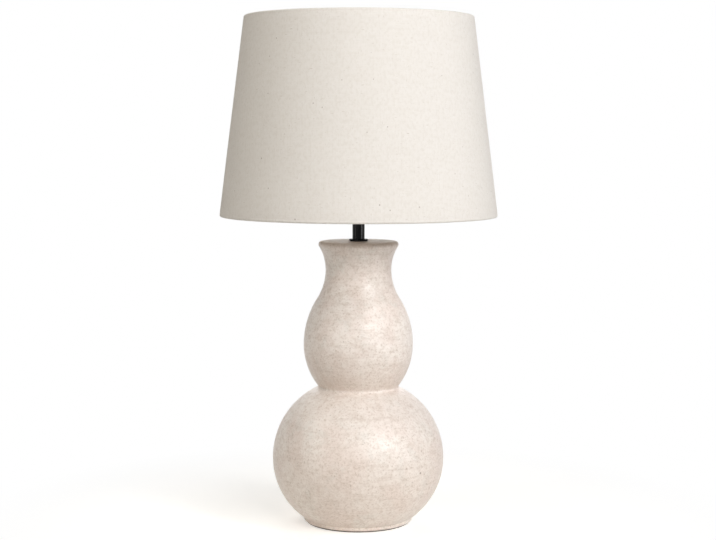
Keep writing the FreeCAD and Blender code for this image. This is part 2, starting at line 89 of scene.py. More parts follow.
MM = 0.001
SAME_POINT = 1e-6
CLOTH_MAP = "flat_cloth"
ABOUT_Z = {"cent": (0.0, 0.0, 0.0), "axis": (0.0, 0.0, 1.0)}
SECTOR_COUNTS = (16, 12, 10, 8, 4)
DRILL_SIDES = 48

Point = tuple[float, float]
Triple = tuple[float, float, float]
Colour = tuple[float, float, float]
Socket = bpy.types.NodeSocket
Value = Union[float, Socket]


class Body(Enum):
    """The bodies that a piece can ride on."""

    BASE = "base"
    SHADE = "shade"
    RING = "shade_ring"
    BULB = "bulb"


def cos(degrees: float) -> float:
    """The cosine of an angle in degrees."""
    return math.cos(math.radians(degrees))


def sin(degrees: float) -> float:
    """The sine of an angle in degrees."""
    return math.sin(math.radians(degrees))


def bearing(start: Point, end: Point) -> float:
    """The direction from one point of an outline to another, in degrees from straight out."""
    return math.degrees(math.atan2(end[1] - start[1], end[0] - start[0]))


def along(start: Point, degrees: float, length: float) -> Point:
    """The point that lies this far from another in that direction."""
    return (start[0] + length * cos(degrees), start[1] + length * sin(degrees))


def smooth_step(value: float, low: float, high: float) -> float:
    """Rises softly from 0 at the low value to 1 at the high one.

    Args:
        value: where the step is read.
        low: where it starts to rise.
        high: where it is done.

    Returns:
        A share from 0 to 1.
    """
    share = min(1.0, max(0.0, (value - low) / (high - low)))
    return share * share * (3.0 - 2.0 * share)


def wobble(x: float, y: float, z: float) -> float:
    """A smooth random value from about -1 to 1, the same on every run."""
    return noise.noise(Vector((x, y, z)), noise_basis="PERLIN_ORIGINAL")


def outward(point: Vector) -> Vector:
    """The part of a place that leads straight away from the Z axis."""
    return Vector((point.x, point.y, 0.0))


# Shaping


class Section:
    """An outline in the half plane right of Z, drawn by operators and then turned."""

    def __init__(self, radius: float, height: float) -> None:
        """Puts the pen down.

        Args:
            radius: distance of the first point from the Z axis.
            height: its height.
        """
        self.mesh: BMesh = bmesh.new()
        self.pen: BMVert = bmesh.ops.create_vert(self.mesh, co=(radius, 0.0, height))["vert"][0]
        self.heading = 0.0

    def line(self, radius: float, height: float, parts: int = 1) -> "Section":
        """Draws a straight stretch.

        Args:
            radius: where it ends, from the axis.
            height: where it ends, from the floor.
            parts: how many edges it is made of.

        Returns:
            The same section, so that calls can be chained.
        """
        run = Vector((radius, 0.0, height)) - self.pen.co
        if run.length < SAME_POINT:
            return self
        self.heading = math.degrees(math.atan2(run.z, run.x))
        for _ in range(parts):
            drawn = bmesh.ops.extrude_vert_indiv(self.mesh, verts=[self.pen])
            self.pen = drawn["verts"][0]
            bmesh.ops.translate(self.mesh, verts=[self.pen], vec=run / parts)
        return self

    def arc(self, centre: Point, degrees: float, parts: int) -> "Section":
        """Draws an arc about a centre.

        Args:
            centre: the centre.
            degrees: how far the arc turns, anticlockwise where it is positive.
            parts: how many edges it is made of.

        Returns:
            The same section.
        """
        drawn = bmesh.ops.spin(
            self.mesh,
            geom=[self.pen],
            cent=(centre[0], 0.0, centre[1]),
            axis=(0.0, -1.0, 0.0),
            angle=math.radians(degrees),
            steps=parts,
        )
        self.pen = [item for item in drawn["geom_last"] if isinstance(item, BMVert)][0]
        out = bearing(centre, (self.pen.co.x, self.pen.co.z))
        self.heading = out + math.copysign(90.0, degrees)
        return self

    def bend(self, radius: float, degrees: float, parts: int = 4) -> "Section":
        """Draws an arc that leaves in the present heading.

        Args:
            radius: the arc's radius.
            degrees: how far it turns, to the left where it is positive.
            parts: how many edges it is made of.

        Returns:
            The same section.
        """
        side = self.heading + math.copysign(90.0, degrees)
        centre = along((self.pen.co.x, self.pen.co.z), side, radius)
        return self.arc(centre, degrees, parts)

    def rounded(self, corners: Sequence[Triple], parts: int = 4) -> "Section":
        """Draws straight stretches whose corners are rounded.

        Args:
            corners: radius, height and rounding of each corner; a rounding of 0 is sharp.
            parts: edges in each rounding.

        Returns:
            The same section.
        """
        for number, (radius, height, rounding) in enumerate(corners):
            here = (self.pen.co.x, self.pen.co.z)
            if rounding <= 0.0 or number + 1 == len(corners):
                self.line(radius, height)
                continue
            after = corners[number + 1]
            turn = bearing((radius, height), after[:2]) - bearing(here, (radius, height))
            turn = (turn + 180.0) % 360.0 - 180.0
            back = rounding * abs(math.tan(math.radians(turn / 2.0)))
            self.line(*along((radius, height), bearing((radius, height), here), back))
            self.bend(rounding, turn, parts)
        return self

    def swept(self, steps: int, sectors: int) -> BMesh:
        """Sweeps the outline a full turn about Z, one sector and then copies of it.

        Args:
            steps: how many steps the turn takes, a multiple of the sectors.
            sectors: how many equal parts the turn is made in.

        Returns:
            The mesh, closed where the last sector meets the first.
        """
        part = math.tau / sectors
        geom = self.mesh.verts[:] + self.mesh.edges[:]
        bmesh.ops.spin(self.mesh, geom=geom, angle=part, steps=steps // sectors, **ABOUT_Z)
        geom = self.mesh.verts[:] + self.mesh.edges[:] + self.mesh.faces[:]
        bmesh.ops.spin(
            self.mesh, geom=geom, angle=math.tau - part, steps=sectors - 1, use_duplicate=True, **ABOUT_Z
        )
        bmesh.ops.remove_doubles(self.mesh, verts=self.mesh.verts[:], dist=SAME_POINT)
        return self.mesh

    def turned(self, steps: int) -> BMesh:
        """Makes a closed turned piece, with its faces pointing outwards.

        Args:
            steps: how many steps the full turn takes, a multiple of 4.

        Returns:
            The mesh.
        """
        mesh = self.swept(steps, next(count for count in SECTOR_COUNTS if steps % count == 0))
        bmesh.ops.recalc_face_normals(mesh, faces=mesh.faces[:])
        return mesh


def make_piece(mesh: BMesh, name: str, crease: float = 35.0) -> bpy.types.Object:
    """Makes a shaped mesh a piece in the scene, smooth but for its creases.

    Args:
        mesh: the shaped mesh, which is used up.
        name: the piece's name.
        crease: edges that fold by more than this many degrees stay sharp.

    Returns:
        The new object, at the origin.
    """
    data = bpy.data.meshes.new(name)
    mesh.to_mesh(data)
    mesh.free()
    data.shade_smooth()
    data.set_sharp_from_angle(angle=math.radians(crease))
    piece = bpy.data.objects.new(name, data)
    bpy.context.scene.collection.objects.link(piece)
    return piece


def settle(piece: bpy.types.Object) -> None:
    """Replaces a piece's mesh by what its modifiers make of it.

    Args:
        piece: the piece, which keeps no modifier.
    """
    shown = piece.evaluated_get(bpy.context.evaluated_depsgraph_get())
    data = bpy.data.meshes.new_from_object(shown)
    piece.modifiers.clear()
    piece.data = data


def drill(piece: bpy.types.Object, radius: float, length: float, placed: Matrix) -> None:
    """Drills a round hole through a piece.

    Args:
        piece: the closed piece to drill.
        radius: the hole's radius.
        length: the drill's length, half of it on each side of its centre.
        placed: where the drill's centre is and which way its Z axis points.
    """
    bit = bmesh.new()
    bmesh.ops.create_cone(
        bit,
        cap_ends=True,
        segments=DRILL_SIDES,
        radius1=radius,
        radius2=radius,
        depth=length,
        matrix=placed,
    )
    tool = make_piece(bit, piece.name + "_drill")
    cut = piece.modifiers.new("drilled", "BOOLEAN")
    cut.operation = "DIFFERENCE"
    cut.solver = "EXACT"
    cut.object = tool
    settle(piece)
    bpy.data.objects.remove(tool)


def dress(piece: bpy.types.Object, *materials: bpy.types.Material) -> bpy.types.Object:
    """Gives a piece its materials.

    Args:
        piece: the piece.
        materials: what it is made of, in the order of its slots.

    Returns:
        The same piece.
    """
    piece.data.materials.clear()
    for material in materials:
        piece.data.materials.append(material)
    return piece


def fit(piece: bpy.types.Object, body: Body, slot: str, *stands_for: str) -> bpy.types.Object:
    """Sets a finished piece on its body.

    Args:
        piece: the piece.
        body: what it rides on.
        slot: the record's material slot of its finish, which is not used.
        stands_for: the solids that it replaces.

    Returns:
        The same piece.
    """
    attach(piece, body.value)
    if stands_for:
        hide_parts(*stands_for)
    logger.info("piece %s rides on %s", piece.name, body.value)
    return piece


# Finishes


def ink(red: int, green: int, blue: int) -> Colour:
    """A colour as it shows on a screen, turned into the light that makes it.

    Args:
        red: the red channel, 0 to 255.
        green: the green channel.
        blue: the blue channel.

    Returns:
        The linear colour.
    """
    shares = (channel / 255.0 for channel in (red, green, blue))
    linear = [s / 12.92 if s <= 0.04045 else ((s + 0.055) / 1.055) ** 2.4 for s in shares]
    return (linear[0], linear[1], linear[2])


@dataclass(frozen=True)
class Patches:
    """A cloudy pattern: the size of its patches, and how broken up and pulled about they are."""

    size: float
    detail: float = 2.0
    rough: float = 0.5
    warp: float = 0.0


@dataclass(frozen=True)
class Step:
    """A soft step: where it starts and is done, and its result below and above."""

    low: Value
    high: Value
    below: float = 0.0
    above: float = 1.0


class Nodes:
    """A node tree, written as calls that give back what they make."""

    def __init__(self, tree: bpy.types.NodeTree) -> None:
        """Takes the tree that the nodes go into."""
        self.tree = tree

    def node(self, kind: str, **settings: object) -> bpy.types.Node:
        """Adds a node.

        Args:
            kind: what the node is, as the end of its type's name.
            settings: the node's own settings.

        Returns:
            The new node.
        """
        made = self.tree.nodes.new("ShaderNode" + kind)
        for word, value in settings.items():
            setattr(made, word, value)
        return made

    def feed(self, target: Socket, value: object) -> None:
        """Links a socket to an input, or writes a constant into it.

        Args:
            target: the input.
            value: the socket or the constant.
        """
        if isinstance(value, bpy.types.NodeSocket):
            self.tree.links.new(value, target)
        elif isinstance(value, tuple) and target.type == "RGBA":
            target.default_value = (*value, 1.0)
        else:
            target.default_value = value

    def sum(self, operation: str, first: Value, second: Value = 0.0) -> Socket:
        """Works out one sum.

        Args:
            operation: the sum, named as the Math node names it.
            first: its first value.
            second: its second value, where it has one.

        Returns:
            The result.
        """
        made = self.node("Math", operation=operation)
        self.feed(made.inputs[0], first)
        self.feed(made.inputs[1], second)
        return made.outputs[0]

    def seen(self) -> Socket:
        """Tells a look from gathered light.

        Returns:
            1 where a viewer, the gloss or a clear piece looks, and 0 for the light itself.
        """
        rays = self.node("LightPath")
        direct = self.sum("MAXIMUM", rays.outputs["Is Camera Ray"], rays.outputs["Is Glossy Ray"])
        return self.sum("MAXIMUM", direct, rays.outputs["Is Transmission Ray"])

    def merge(self, share: Socket, first: bpy.types.Node, second: bpy.types.Node) -> bpy.types.Node:
        """Mixes two shaders.

        Args:
            share: how much of the second one shows.
            first: a shader's node.
            second: a shader's node.

        Returns:
            The node that mixes them.
        """
        made = self.node("MixShader")
        for target, value in zip(made.inputs, (share, first.outputs[0], second.outputs[0])):
            self.feed(target, value)
        return made


class Recipe(Nodes):
    """One finish's nodes, from the place on the piece to the shader."""

    def __init__(self, name: str, roughness: float, **constants: float) -> None:
        """Starts a material.

        Args:
            name: the material's name.
            roughness: the shader's roughness where nothing is linked to it.
            constants: other inputs of the shader, words joined by underscores.
        """
        self.material = bpy.data.materials.new(name)
        self.material.use_nodes = True
        super().__init__(self.material.node_tree)
        self.shader = next(n for n in self.tree.nodes if n.type == "BSDF_PRINCIPLED")
        self.shader.inputs["Roughness"].default_value = roughness
        for word, value in constants.items():
            self.shader.inputs[word.replace("_", " ")].default_value = value
        self.last_relief: Optional[Socket] = None

    def place(self) -> Socket:
        """The point on the piece, in metres."""
        return self.node("TexCoord").outputs["Object"]

    def cloth_place(self, name: str) -> Socket:
        """The point on the flat cloth, in metres, from the piece's own map."""
        return self.node("UVMap", uv_map=name).outputs["UV"]

    def stretched(self, where: Socket, factors: Triple) -> Socket:
        """Counts a place in other units along each axis.

        Args:
            where: the place.
            factors: what each of its coordinates is multiplied by.

        Returns:
            The place in the new units.
        """
        scaled = self.node("VectorMath", operation="MULTIPLY")
        self.feed(scaled.inputs[0], where)
        self.feed(scaled.inputs[1], factors)
        return scaled.outputs["Vector"]

    def parts(self, where: Socket) -> tuple[Socket, Socket, Socket]:
        """Takes a place apart.

        Args:
            where: the place.

        Returns:
            Its three coordinates.
        """
        split = self.node("SeparateXYZ")
        self.feed(split.inputs[0], where)
        return split.outputs[0], split.outputs[1], split.outputs[2]

    def joined(self, x: Value, y: Value, z: Value = 0.0) -> Socket:
        """Makes a place of its coordinates.

        Args:
            x: the first one.
            y: the second one.
            z: the third one.

        Returns:
            The place.
        """
        made = self.node("CombineXYZ")
        for target, value in zip(made.inputs, (x, y, z)):
            self.feed(target, value)
        return made.outputs[0]

    def from_axis(self, where: Socket) -> tuple[Socket, Socket]:
        """Reads a place on a turned piece.

        Args:
            where: the place.

        Returns:
            Its distance from the Z axis, and its height.
        """
        x, y, height = self.parts(where)
        squares = self.sum("ADD", self.sum("MULTIPLY", x, x), self.sum("MULTIPLY", y, y))
        return self.sum("SQRT", squares), height

    def clouds(self, where: Socket, patches: Patches) -> Socket:
        """Spreads a cloudy pattern.

        Args:
            where: the place that it is read at.
            patches: how the pattern looks.

        Returns:
            A value about 0.5.
        """
        made = self.node("TexNoise")
        self.feed(made.inputs["Vector"], where)
        self.feed(made.inputs["Scale"], 1.0 / patches.size)
        self.feed(made.inputs["Detail"], patches.detail)
        self.feed(made.inputs["Roughness"], patches.rough)
        self.feed(made.inputs["Distortion"], patches.warp)
        return made.outputs["Fac"]

    def spots(self, where: Socket, spacing: float) -> tuple[Socket, Socket]:
        """Scatters centres.

        Args:
            where: the place that they are read at.
            spacing: how far apart they are.

        Returns:
            The distance to the nearest centre in spacings, and that centre's random colour.
        """
        made = self.node("TexVoronoi")
        self.feed(made.inputs["Vector"], where)
        self.feed(made.inputs["Scale"], 1.0 / spacing)
        return made.outputs["Distance"], made.outputs["Color"]

    def ramp(self, value: Value, step: Step) -> Socket:
        """Reads a value through a soft step.

        Args:
            value: what is looked at.
            step: the step.

        Returns:
            The result.
        """
        made = self.node("MapRange", interpolation_type="SMOOTHSTEP")
        for target, given in zip(made.inputs, (value, step.low, step.high, step.below, step.above)):
            self.feed(target, given)
        return made.outputs[0]

    def blend(self, share: Value, first: object, second: object) -> Socket:
        """Mixes two colours.

        Args:
            share: how much of the second one shows.
            first: a colour or a socket.
            second: a colour or a socket.

        Returns:
            The mixed colour.
        """
        made = self.node("Mix", data_type="RGBA")
        self.feed(made.inputs[0], share)
        self.feed(made.inputs[6], first)
        self.feed(made.inputs[7], second)
        return made.outputs[2]

    def between(self, share: Socket, first: Socket, second: Socket) -> Socket:
        """Mixes two values.

        Args:
            share: how much of the second one counts.
            first: the value where the share is 0.
            second: the value where it is 1.

        Returns:
            The mixed value.
        """
        made = self.node("Mix", data_type="FLOAT")
        self.feed(made.inputs[0], share)
        self.feed(made.inputs[2], first)
        self.feed(made.inputs[3], second)
        return made.outputs[0]

    def relief(self, height: Socket, depth: float, strength: float = 1.0) -> None:
        """Raises the surface by a pattern, on top of the reliefs before it.

        Args:
            height: the pattern, from 0 to 1.
            depth: how high 1 stands, in metres.
            strength: how much of it shows.
        """
        made = self.node("Bump")
        self.feed(made.inputs["Strength"], strength)
        self.feed(made.inputs["Distance"], depth)
        self.feed(made.inputs["Height"], height)
        if self.last_relief is not None:
            self.feed(made.inputs["Normal"], self.last_relief)
        self.last_relief = made.outputs["Normal"]

    def done(self, colour: object, roughness: Optional[Socket] = None) -> bpy.types.Material:
        """Links the colour, the roughness and the reliefs to the shader.

        Args:
            colour: a colour or a socket.
            roughness: a socket, where the roughness varies.

        Returns:
            The finished material.
        """
        self.feed(self.shader.inputs["Base Color"], colour)
        if roughness is not None:
            self.feed(self.shader.inputs["Roughness"], roughness)
        if self.last_relief is not None:
            self.feed(self.shader.inputs["Normal"], self.last_relief)
        return self.material


@dataclass(frozen=True)
class SpeckledGlaze:
    """Satin oatmeal glaze on stoneware, flecked with iron and broken at its edges, with painted shade and
    painted light laid on in bands by height and painted shade at the lip and foot.
    """

    cream: Colour = ink(248, 239, 231)
    blush: Colour = ink(240, 226, 217)
    oat: Colour = ink(212, 195, 181)
    fleck: Colour = ink(170, 145, 123)
    iron: Colour = ink(122, 96, 76)
    ash: Colour = ink(230, 225, 217)
    broad: Patches = Patches(42.0 * MM, 2.0, 0.5, 0.3)
    broad_depth: float = 0.4 * MM
    creamy: Step = Step(0.36, 0.64)
    haze: Patches = Patches(24.0 * MM, 3.0, 0.6, 0.3)
    ashy: Step = Step(0.5, 0.7, 0.0, 0.45)
    mottle: Patches = Patches(8.5 * MM, 5.0, 0.74, 0.3)
    mottle_flat: Triple = (1.0, 1.0, 1.25)
    mottle_depth: float = 0.16 * MM
    oaty: Step = Step(0.4, 0.68, 0.0, 0.5)
    satin: Step = Step(0.3, 0.7, 0.35, 0.46)
    grain: Patches = Patches(2.5 * MM, 3.0, 0.7)
    grain_depth: float = 0.07 * MM
    grain_dark: Step = Step(0.5, 0.72, 0.0, 0.42)
    grain_pale: Step = Step(0.28, 0.48, 0.5, 0.0)
    rings: Patches = Patches(3.2 * MM, 2.0, 0.6)
    rings_long: Triple = (0.1, 0.1, 1.0)
    rings_depth: float = 0.08 * MM
    rings_dark: Step = Step(0.5, 0.75, 0.0, 0.16)
    crowds: Patches = Patches(30.0 * MM)
    crowded: Step = Step(0.35, 0.7, 0.2, 0.75)
    dot_least: float = 0.25
    dot_spread: float = 0.8
    dot_core: float = 0.4
    dot_rim: float = 1.25
    lip_height: float = 358.5 * MM
    foot_height: float = 1.5 * MM
    ragged: float = 6.0 * MM

    def make(self) -> bpy.types.Material:
        """Builds the material.

        Returns:
            The material.
        """
        mix = Recipe("speckled_glaze", 0.4, Specular_IOR_Level=0.65)
        here = mix.place()
        broad = mix.clouds(here, self.broad)
        colour = mix.blend(mix.ramp(broad, self.creamy), self.blush, self.cream)
        haze = mix.clouds(here, self.haze)
        colour = mix.blend(mix.ramp(haze, self.ashy), colour, self.ash)
        height = mix.parts(here)[2]
        # Bands by height of painted shade and painted light: the lower swelling darkened towards oat about
        # and below its widest as painted shade, its shoulder lightened towards cream as painted light, and
        # the upper swelling's underside above the waist darkened towards oat as painted shade.
        for rise, fall, tone in (
            (Step(-10.0 * MM, 50.0 * MM), Step(65.0 * MM, 145.0 * MM, 0.3, 0.0), self.oat),
            (Step(125.0 * MM, 150.0 * MM), Step(165.0 * MM, 174.0 * MM, 0.5, 0.0), self.cream),
            (Step(172.0 * MM, 180.0 * MM), Step(186.0 * MM, 236.0 * MM, 0.42, 0.0), self.oat),
        ):
            painted_light_and_shade = mix.sum("MULTIPLY", mix.ramp(height, rise), mix.ramp(height, fall))
            colour = mix.blend(painted_light_and_shade, colour, tone)
        mottle = mix.clouds(mix.stretched(here, self.mottle_flat), self.mottle)
        colour = mix.blend(mix.ramp(mottle, self.oaty), colour, self.oat)
        grain = mix.clouds(here, self.grain)
        colour = mix.blend(mix.ramp(grain, self.grain_dark), colour, self.fleck)
        colour = mix.blend(mix.ramp(grain, self.grain_pale), colour, self.cream)
        rings = mix.clouds(mix.stretched(here, self.rings_long), self.rings)
        colour = mix.blend(mix.ramp(rings, self.rings_dark), colour, self.fleck)
        crowd = mix.ramp(mix.clouds(here, self.crowds), self.crowded)
        for spacing, share, tone, strength in (
            (4.6 * MM, 0.3, self.fleck, 0.34),
            (8.5 * MM, 0.15, self.iron, 0.3),
            (27.0 * MM, 0.06, self.iron, 0.65),
        ):
            away, random = mix.spots(here, spacing)
            size, chance, _ = mix.parts(random)
            reach = mix.sum("MULTIPLY", mix.sum("ADD", size, self.dot_least), self.dot_spread * share)
            core = mix.sum("MULTIPLY", reach, self.dot_core)
            rim = mix.sum("MULTIPLY", reach, self.dot_rim)
            dot = mix.ramp(away, Step(core, rim, 1.0, 0.0))
            kept = mix.sum("LESS_THAN", chance, crowd)
            shown = mix.sum("MULTIPLY", mix.sum("MULTIPLY", dot, kept), strength)
            colour = mix.blend(shown, colour, tone)
        # Darker towards fleck at the lip and the foot: partly the glaze really thinning at its edges, partly
        # painted shade at the lip under the lampshade and at the foot just above the floor.
        ragged = mix.sum("ADD", height, mix.sum("MULTIPLY", mottle, self.ragged))
        lip = Step(self.lip_height - 4.5 * MM, self.lip_height + 3.0 * MM, 0.0, 0.5)
        foot = Step(self.foot_height + 3.0 * MM, self.foot_height + 6.0 * MM, 0.15, 0.0)
        thin_glaze_and_shade = mix.sum("MAXIMUM", mix.ramp(ragged, lip), mix.ramp(ragged, foot))
        colour = mix.blend(thin_glaze_and_shade, colour, self.fleck)
        mix.relief(broad, self.broad_depth)
        mix.relief(mottle, self.mottle_depth)
        mix.relief(rings, self.rings_depth)
        mix.relief(grain, self.grain_depth)
        return mix.done(colour, mix.ramp(mottle, self.satin))


@dataclass(frozen=True)
class BareClay:
    """The unglazed ring that the body stood on in the kiln."""

    clay: Colour = ink(186, 160, 134)
    dark: Colour = ink(140, 112, 88)
    sand: Patches = Patches(1.2 * MM, 4.0, 0.7)
    sandy: Step = Step(0.45, 0.75, 0.0, 0.7)
    depth: float = 0.2 * MM

    def make(self) -> bpy.types.Material:
        """Builds the material.

        Returns:
            The material.
        """
        mix = Recipe("bare_clay", 0.85, Specular_IOR_Level=0.25)
        sand = mix.clouds(mix.place(), self.sand)
        mix.relief(sand, self.depth)
        return mix.done(mix.blend(mix.ramp(sand, self.sandy), self.clay, self.dark))


@dataclass(frozen=True)
class WovenLinen:
    """Plain woven linen with slubs and flecks, read from the flat cloth's map."""

    cloth_map: str
    yarn: float = 0.52 * MM
    pale: Colour = ink(247, 242, 236)
    tone: Colour = ink(241, 235, 227)
    slub: Colour = ink(230, 223, 213)
    fleck: Colour = ink(184, 170, 150)
    husk: Colour = ink(132, 108, 82)
    apart: float = 7.31
    changes: float = 28.0
    drift: Patches = Patches(1.0, 3.0, 0.6)
    crossing: Step = Step(-0.2, 0.2)
    toned: Step = Step(0.3, 0.72)
    slubbed: Step = Step(0.6, 0.85, 0.0, 0.8)
    streaks: Patches = Patches(1.0, 1.0)
    husk_flat: Triple = (1.0, 0.7, 1.0)
    husk_spacing: float = 12.5 * MM
    husk_least: float = 0.035
    husk_spread: float = 0.05
    husk_core: float = 0.4
    husk_strength: float = 0.55
    mottle: Patches = Patches(18.0 * MM, 3.0, 0.6)
    mottled: Step = Step(0.35, 0.7, 0.0, 0.35)
    mottle_depth: float = 0.18 * MM
    bulk: Patches = Patches(5.2 * MM, 3.0, 0.62)
    bulk_tall: Triple = (1.5, 1.0, 1.0)
    bulky: Step = Step(0.42, 0.68, 0.0, 0.42)
    gap: Step = Step(0.05, 0.5, 0.32, 0.0)
    thick_share: float = 0.9
    yarn_depth: float = 0.09 * MM
    yarn_strength: float = 0.8

    def yarns(self, mix: Recipe, across: Socket, length: Socket) -> Socket:
        """The tone of each yarn of one set along its length.

        Args:
            mix: the recipe being written.
            across: the place across the yarns, counted in yarns.
            length: the place along them, in metres.

        Returns:
            A value about 0.5.
        """
        own = mix.sum("MULTIPLY", mix.sum("FLOOR", across), self.apart)
        return mix.clouds(mix.joined(own, mix.sum("MULTIPLY", length, self.changes)), self.drift)

    def husks(self, mix: Recipe, flat: Socket) -> Socket:
        """The bits of husk left in the yarns.

        Args:
            mix: the recipe being written.
            flat: the place on the flat cloth.

        Returns:
            How much of a husk shows.
        """
        away, random = mix.spots(mix.stretched(flat, self.husk_flat), self.husk_spacing)
        spread = mix.sum("MULTIPLY", mix.parts(random)[0], self.husk_spread)
        reach = mix.sum("ADD", spread, self.husk_least)
        core = mix.sum("MULTIPLY", reach, self.husk_core)
        return mix.ramp(away, Step(core, reach, self.husk_strength, 0.0))

    def make(self) -> bpy.types.Material:
        """Builds the material.

        Returns:
            The material.
        """
        mix = Recipe("woven_linen", 0.86, Specular_IOR_Level=0.25, Sheen_Weight=0.12, Sheen_Roughness=0.4)
        across, length, _ = mix.parts(mix.cloth_place(self.cloth_map))
        warp_at = mix.sum("DIVIDE", across, self.yarn)
        weft_at = mix.sum("DIVIDE", length, self.yarn)
        warp_wave = mix.sum("SINE", mix.sum("MULTIPLY", warp_at, math.pi))
        weft_wave = mix.sum("SINE", mix.sum("MULTIPLY", weft_at, math.pi))
        warp_on_top = mix.ramp(mix.sum("MULTIPLY", warp_wave, weft_wave), self.crossing)
        warp_body, weft_body = mix.sum("ABSOLUTE", warp_wave), mix.sum("ABSOLUTE", weft_wave)
        warp_tone = self.yarns(mix, warp_at, length)
        weft_tone = self.yarns(mix, weft_at, across)
        body = mix.between(warp_on_top, weft_body, warp_body)
        shade = mix.between(warp_on_top, weft_tone, warp_tone)
        colour = mix.blend(mix.ramp(shade, self.toned), self.pale, self.tone)
        colour = mix.blend(mix.ramp(shade, self.slubbed), colour, self.slub)
        flat = mix.joined(across, length)
        for per_metre, shown in (
            ((900.0, 160.0, 1.0), Step(0.7, 0.8, 0.0, 0.6)),
            ((150.0, 820.0, 1.0), Step(0.69, 0.79, 0.0, 0.55)),
        ):
            streak = mix.clouds(mix.stretched(flat, per_metre), self.streaks)
            colour = mix.blend(mix.ramp(streak, shown), colour, self.fleck)
        mottle = mix.clouds(flat, self.mottle)
        colour = mix.blend(mix.ramp(mottle, self.mottled), colour, self.tone)
        bulk = mix.clouds(mix.stretched(flat, self.bulk_tall), self.bulk)
        colour = mix.blend(mix.ramp(bulk, self.bulky), colour, self.slub)
        colour = mix.blend(mix.ramp(body, self.gap), colour, self.slub)
        colour = mix.blend(self.husks(mix, flat), colour, self.husk)
        raised = mix.sum("ADD", body, mix.sum("MULTIPLY", shade, self.thick_share))
        mix.relief(raised, self.yarn_depth, self.yarn_strength)
        mix.relief(mottle, self.mottle_depth)
        return mix.done(colour)


@dataclass(frozen=True)
class Coating:
    """Sprayed or powder coating, with the faint orange peel of paint."""

    name: str
    colour: Colour
    worn: Colour
    roughness: float
    gloss: float
    depth: float
    peel: Patches = Patches(1.4 * MM)
    clouds: Patches = Patches(16.0 * MM, 4.0, 0.6)
    cloudy: Step = Step(0.4, 0.75, 0.0, 0.35)
    dust: Patches = Patches(0.6 * MM, 1.0)
    dusty: Step = Step(0.72, 0.85, 0.0, 0.5)

    def make(self) -> bpy.types.Material:
        """Builds the material.

        Returns:
            The material.
        """
        mix = Recipe(self.name, self.roughness, Specular_IOR_Level=self.gloss)
        here = mix.place()
        cloud = mix.clouds(here, self.clouds)
        colour = mix.blend(mix.ramp(cloud, self.cloudy), self.colour, self.worn)
        dust = mix.clouds(here, self.dust)
        colour = mix.blend(mix.ramp(dust, self.dusty), colour, self.worn)
        mix.relief(mix.clouds(here, self.peel), self.depth)
        gloss = Step(0.3, 0.7, self.roughness * 0.85, self.roughness * 1.25)
        return mix.done(colour, mix.ramp(cloud, gloss))


@dataclass(frozen=True)
class MouldedPlastic:
    """Pressed or moulded plastic with a fine spark texture and faint flow marks."""

    name: str
    colour: Colour
    bloom: Colour
    roughness: float
    depth: float = 0.03 * MM
    spark: Patches = Patches(0.45 * MM, 2.0, 0.6)
    flow: Patches = Patches(20.0 * MM, 4.0, 0.6, 0.8)
    flow_flat: Triple = (1.0, 1.0, 3.0)
    bloomed: Step = Step(0.4, 0.8, 0.0, 0.4)

    def make(self) -> bpy.types.Material:
        """Builds the material.

        Returns:
            The material.
        """
        mix = Recipe(self.name, self.roughness, Specular_IOR_Level=0.45)
        here = mix.place()
        flow = mix.clouds(mix.stretched(here, self.flow_flat), self.flow)
        colour = mix.blend(mix.ramp(flow, self.bloomed), self.colour, self.bloom)
        mix.relief(mix.clouds(here, self.spark), self.depth)
        gloss = Step(0.3, 0.75, self.roughness * 0.85, self.roughness * 1.2)
        return mix.done(colour, mix.ramp(flow, gloss))


@dataclass(frozen=True)
class WorkedMetal:
    """Bare or plated metal with turning marks round Z and clouds of tarnish."""

    name: str
    bright: Colour
    dull: Colour
    roughness: float
    marks: Patches = Patches(0.2 * MM, 2.0, 0.6)
    depth: float = 0.02 * MM
    tarnish: Patches = Patches(6.0 * MM, 4.0, 0.65, 0.5)
    tarnished: Step = Step(0.4, 0.72)

    def make(self) -> bpy.types.Material:
        """Builds the material.

        Returns:
            The material.
        """
        mix = Recipe(self.name, self.roughness, Metallic=1.0)
        here = mix.place()
        marks = mix.clouds(mix.joined(*mix.from_axis(here)), self.marks)
        tarnish = mix.clouds(here, self.tarnish)
        colour = mix.blend(mix.ramp(tarnish, self.tarnished), self.bright, self.dull)
        mix.relief(marks, self.depth)
        gloss = Step(0.3, 0.75, self.roughness * 0.8, self.roughness * 1.5)
        return mix.done(colour, mix.ramp(tarnish, gloss))


@dataclass(frozen=True)
class SoftRubber:
    """Matt black rubber with a dusty bloom."""

    colour: Colour = ink(30, 30, 30)
    bloom: Colour = ink(66, 65, 63)
    dust: Patches = Patches(4.0 * MM, 4.0, 0.65)
    dusty: Step = Step(0.45, 0.8, 0.0, 0.6)
    grain: Patches = Patches(0.5 * MM)
    depth: float = 0.04 * MM

    def make(self) -> bpy.types.Material:
        """Builds the material.

        Returns:
            The material.
        """
        mix = Recipe("soft_rubber", 0.7, Specular_IOR_Level=0.35)
        here = mix.place()
        dust = mix.clouds(here, self.dust)
        mix.relief(mix.clouds(here, self.grain), self.depth)
        return mix.done(mix.blend(mix.ramp(dust, self.dusty), self.colour, self.bloom))


@dataclass(frozen=True)
class PressedBoard:
    """Grey-brown board of pressed paper pulp."""

    pulp: Colour = ink(168, 152, 130)
    fibre: Colour = ink(120, 104, 84)
    fibres: Patches = Patches(3.0 * MM, 4.0, 0.7, 1.2)
    fibres_long: Triple = (1.0, 6.0, 6.0)
    fibrous: Step = Step(0.5, 0.75)
    depth: float = 0.1 * MM

    def make(self) -> bpy.types.Material:
        """Builds the material.

        Returns:
            The material.
        """
        mix = Recipe("pressed_board", 0.92, Specular_IOR_Level=0.2)
        fibres = mix.clouds(mix.stretched(mix.place(), self.fibres_long), self.fibres)
        mix.relief(fibres, self.depth)
        return mix.done(mix.blend(mix.ramp(fibres, self.fibrous), self.pulp, self.fibre))


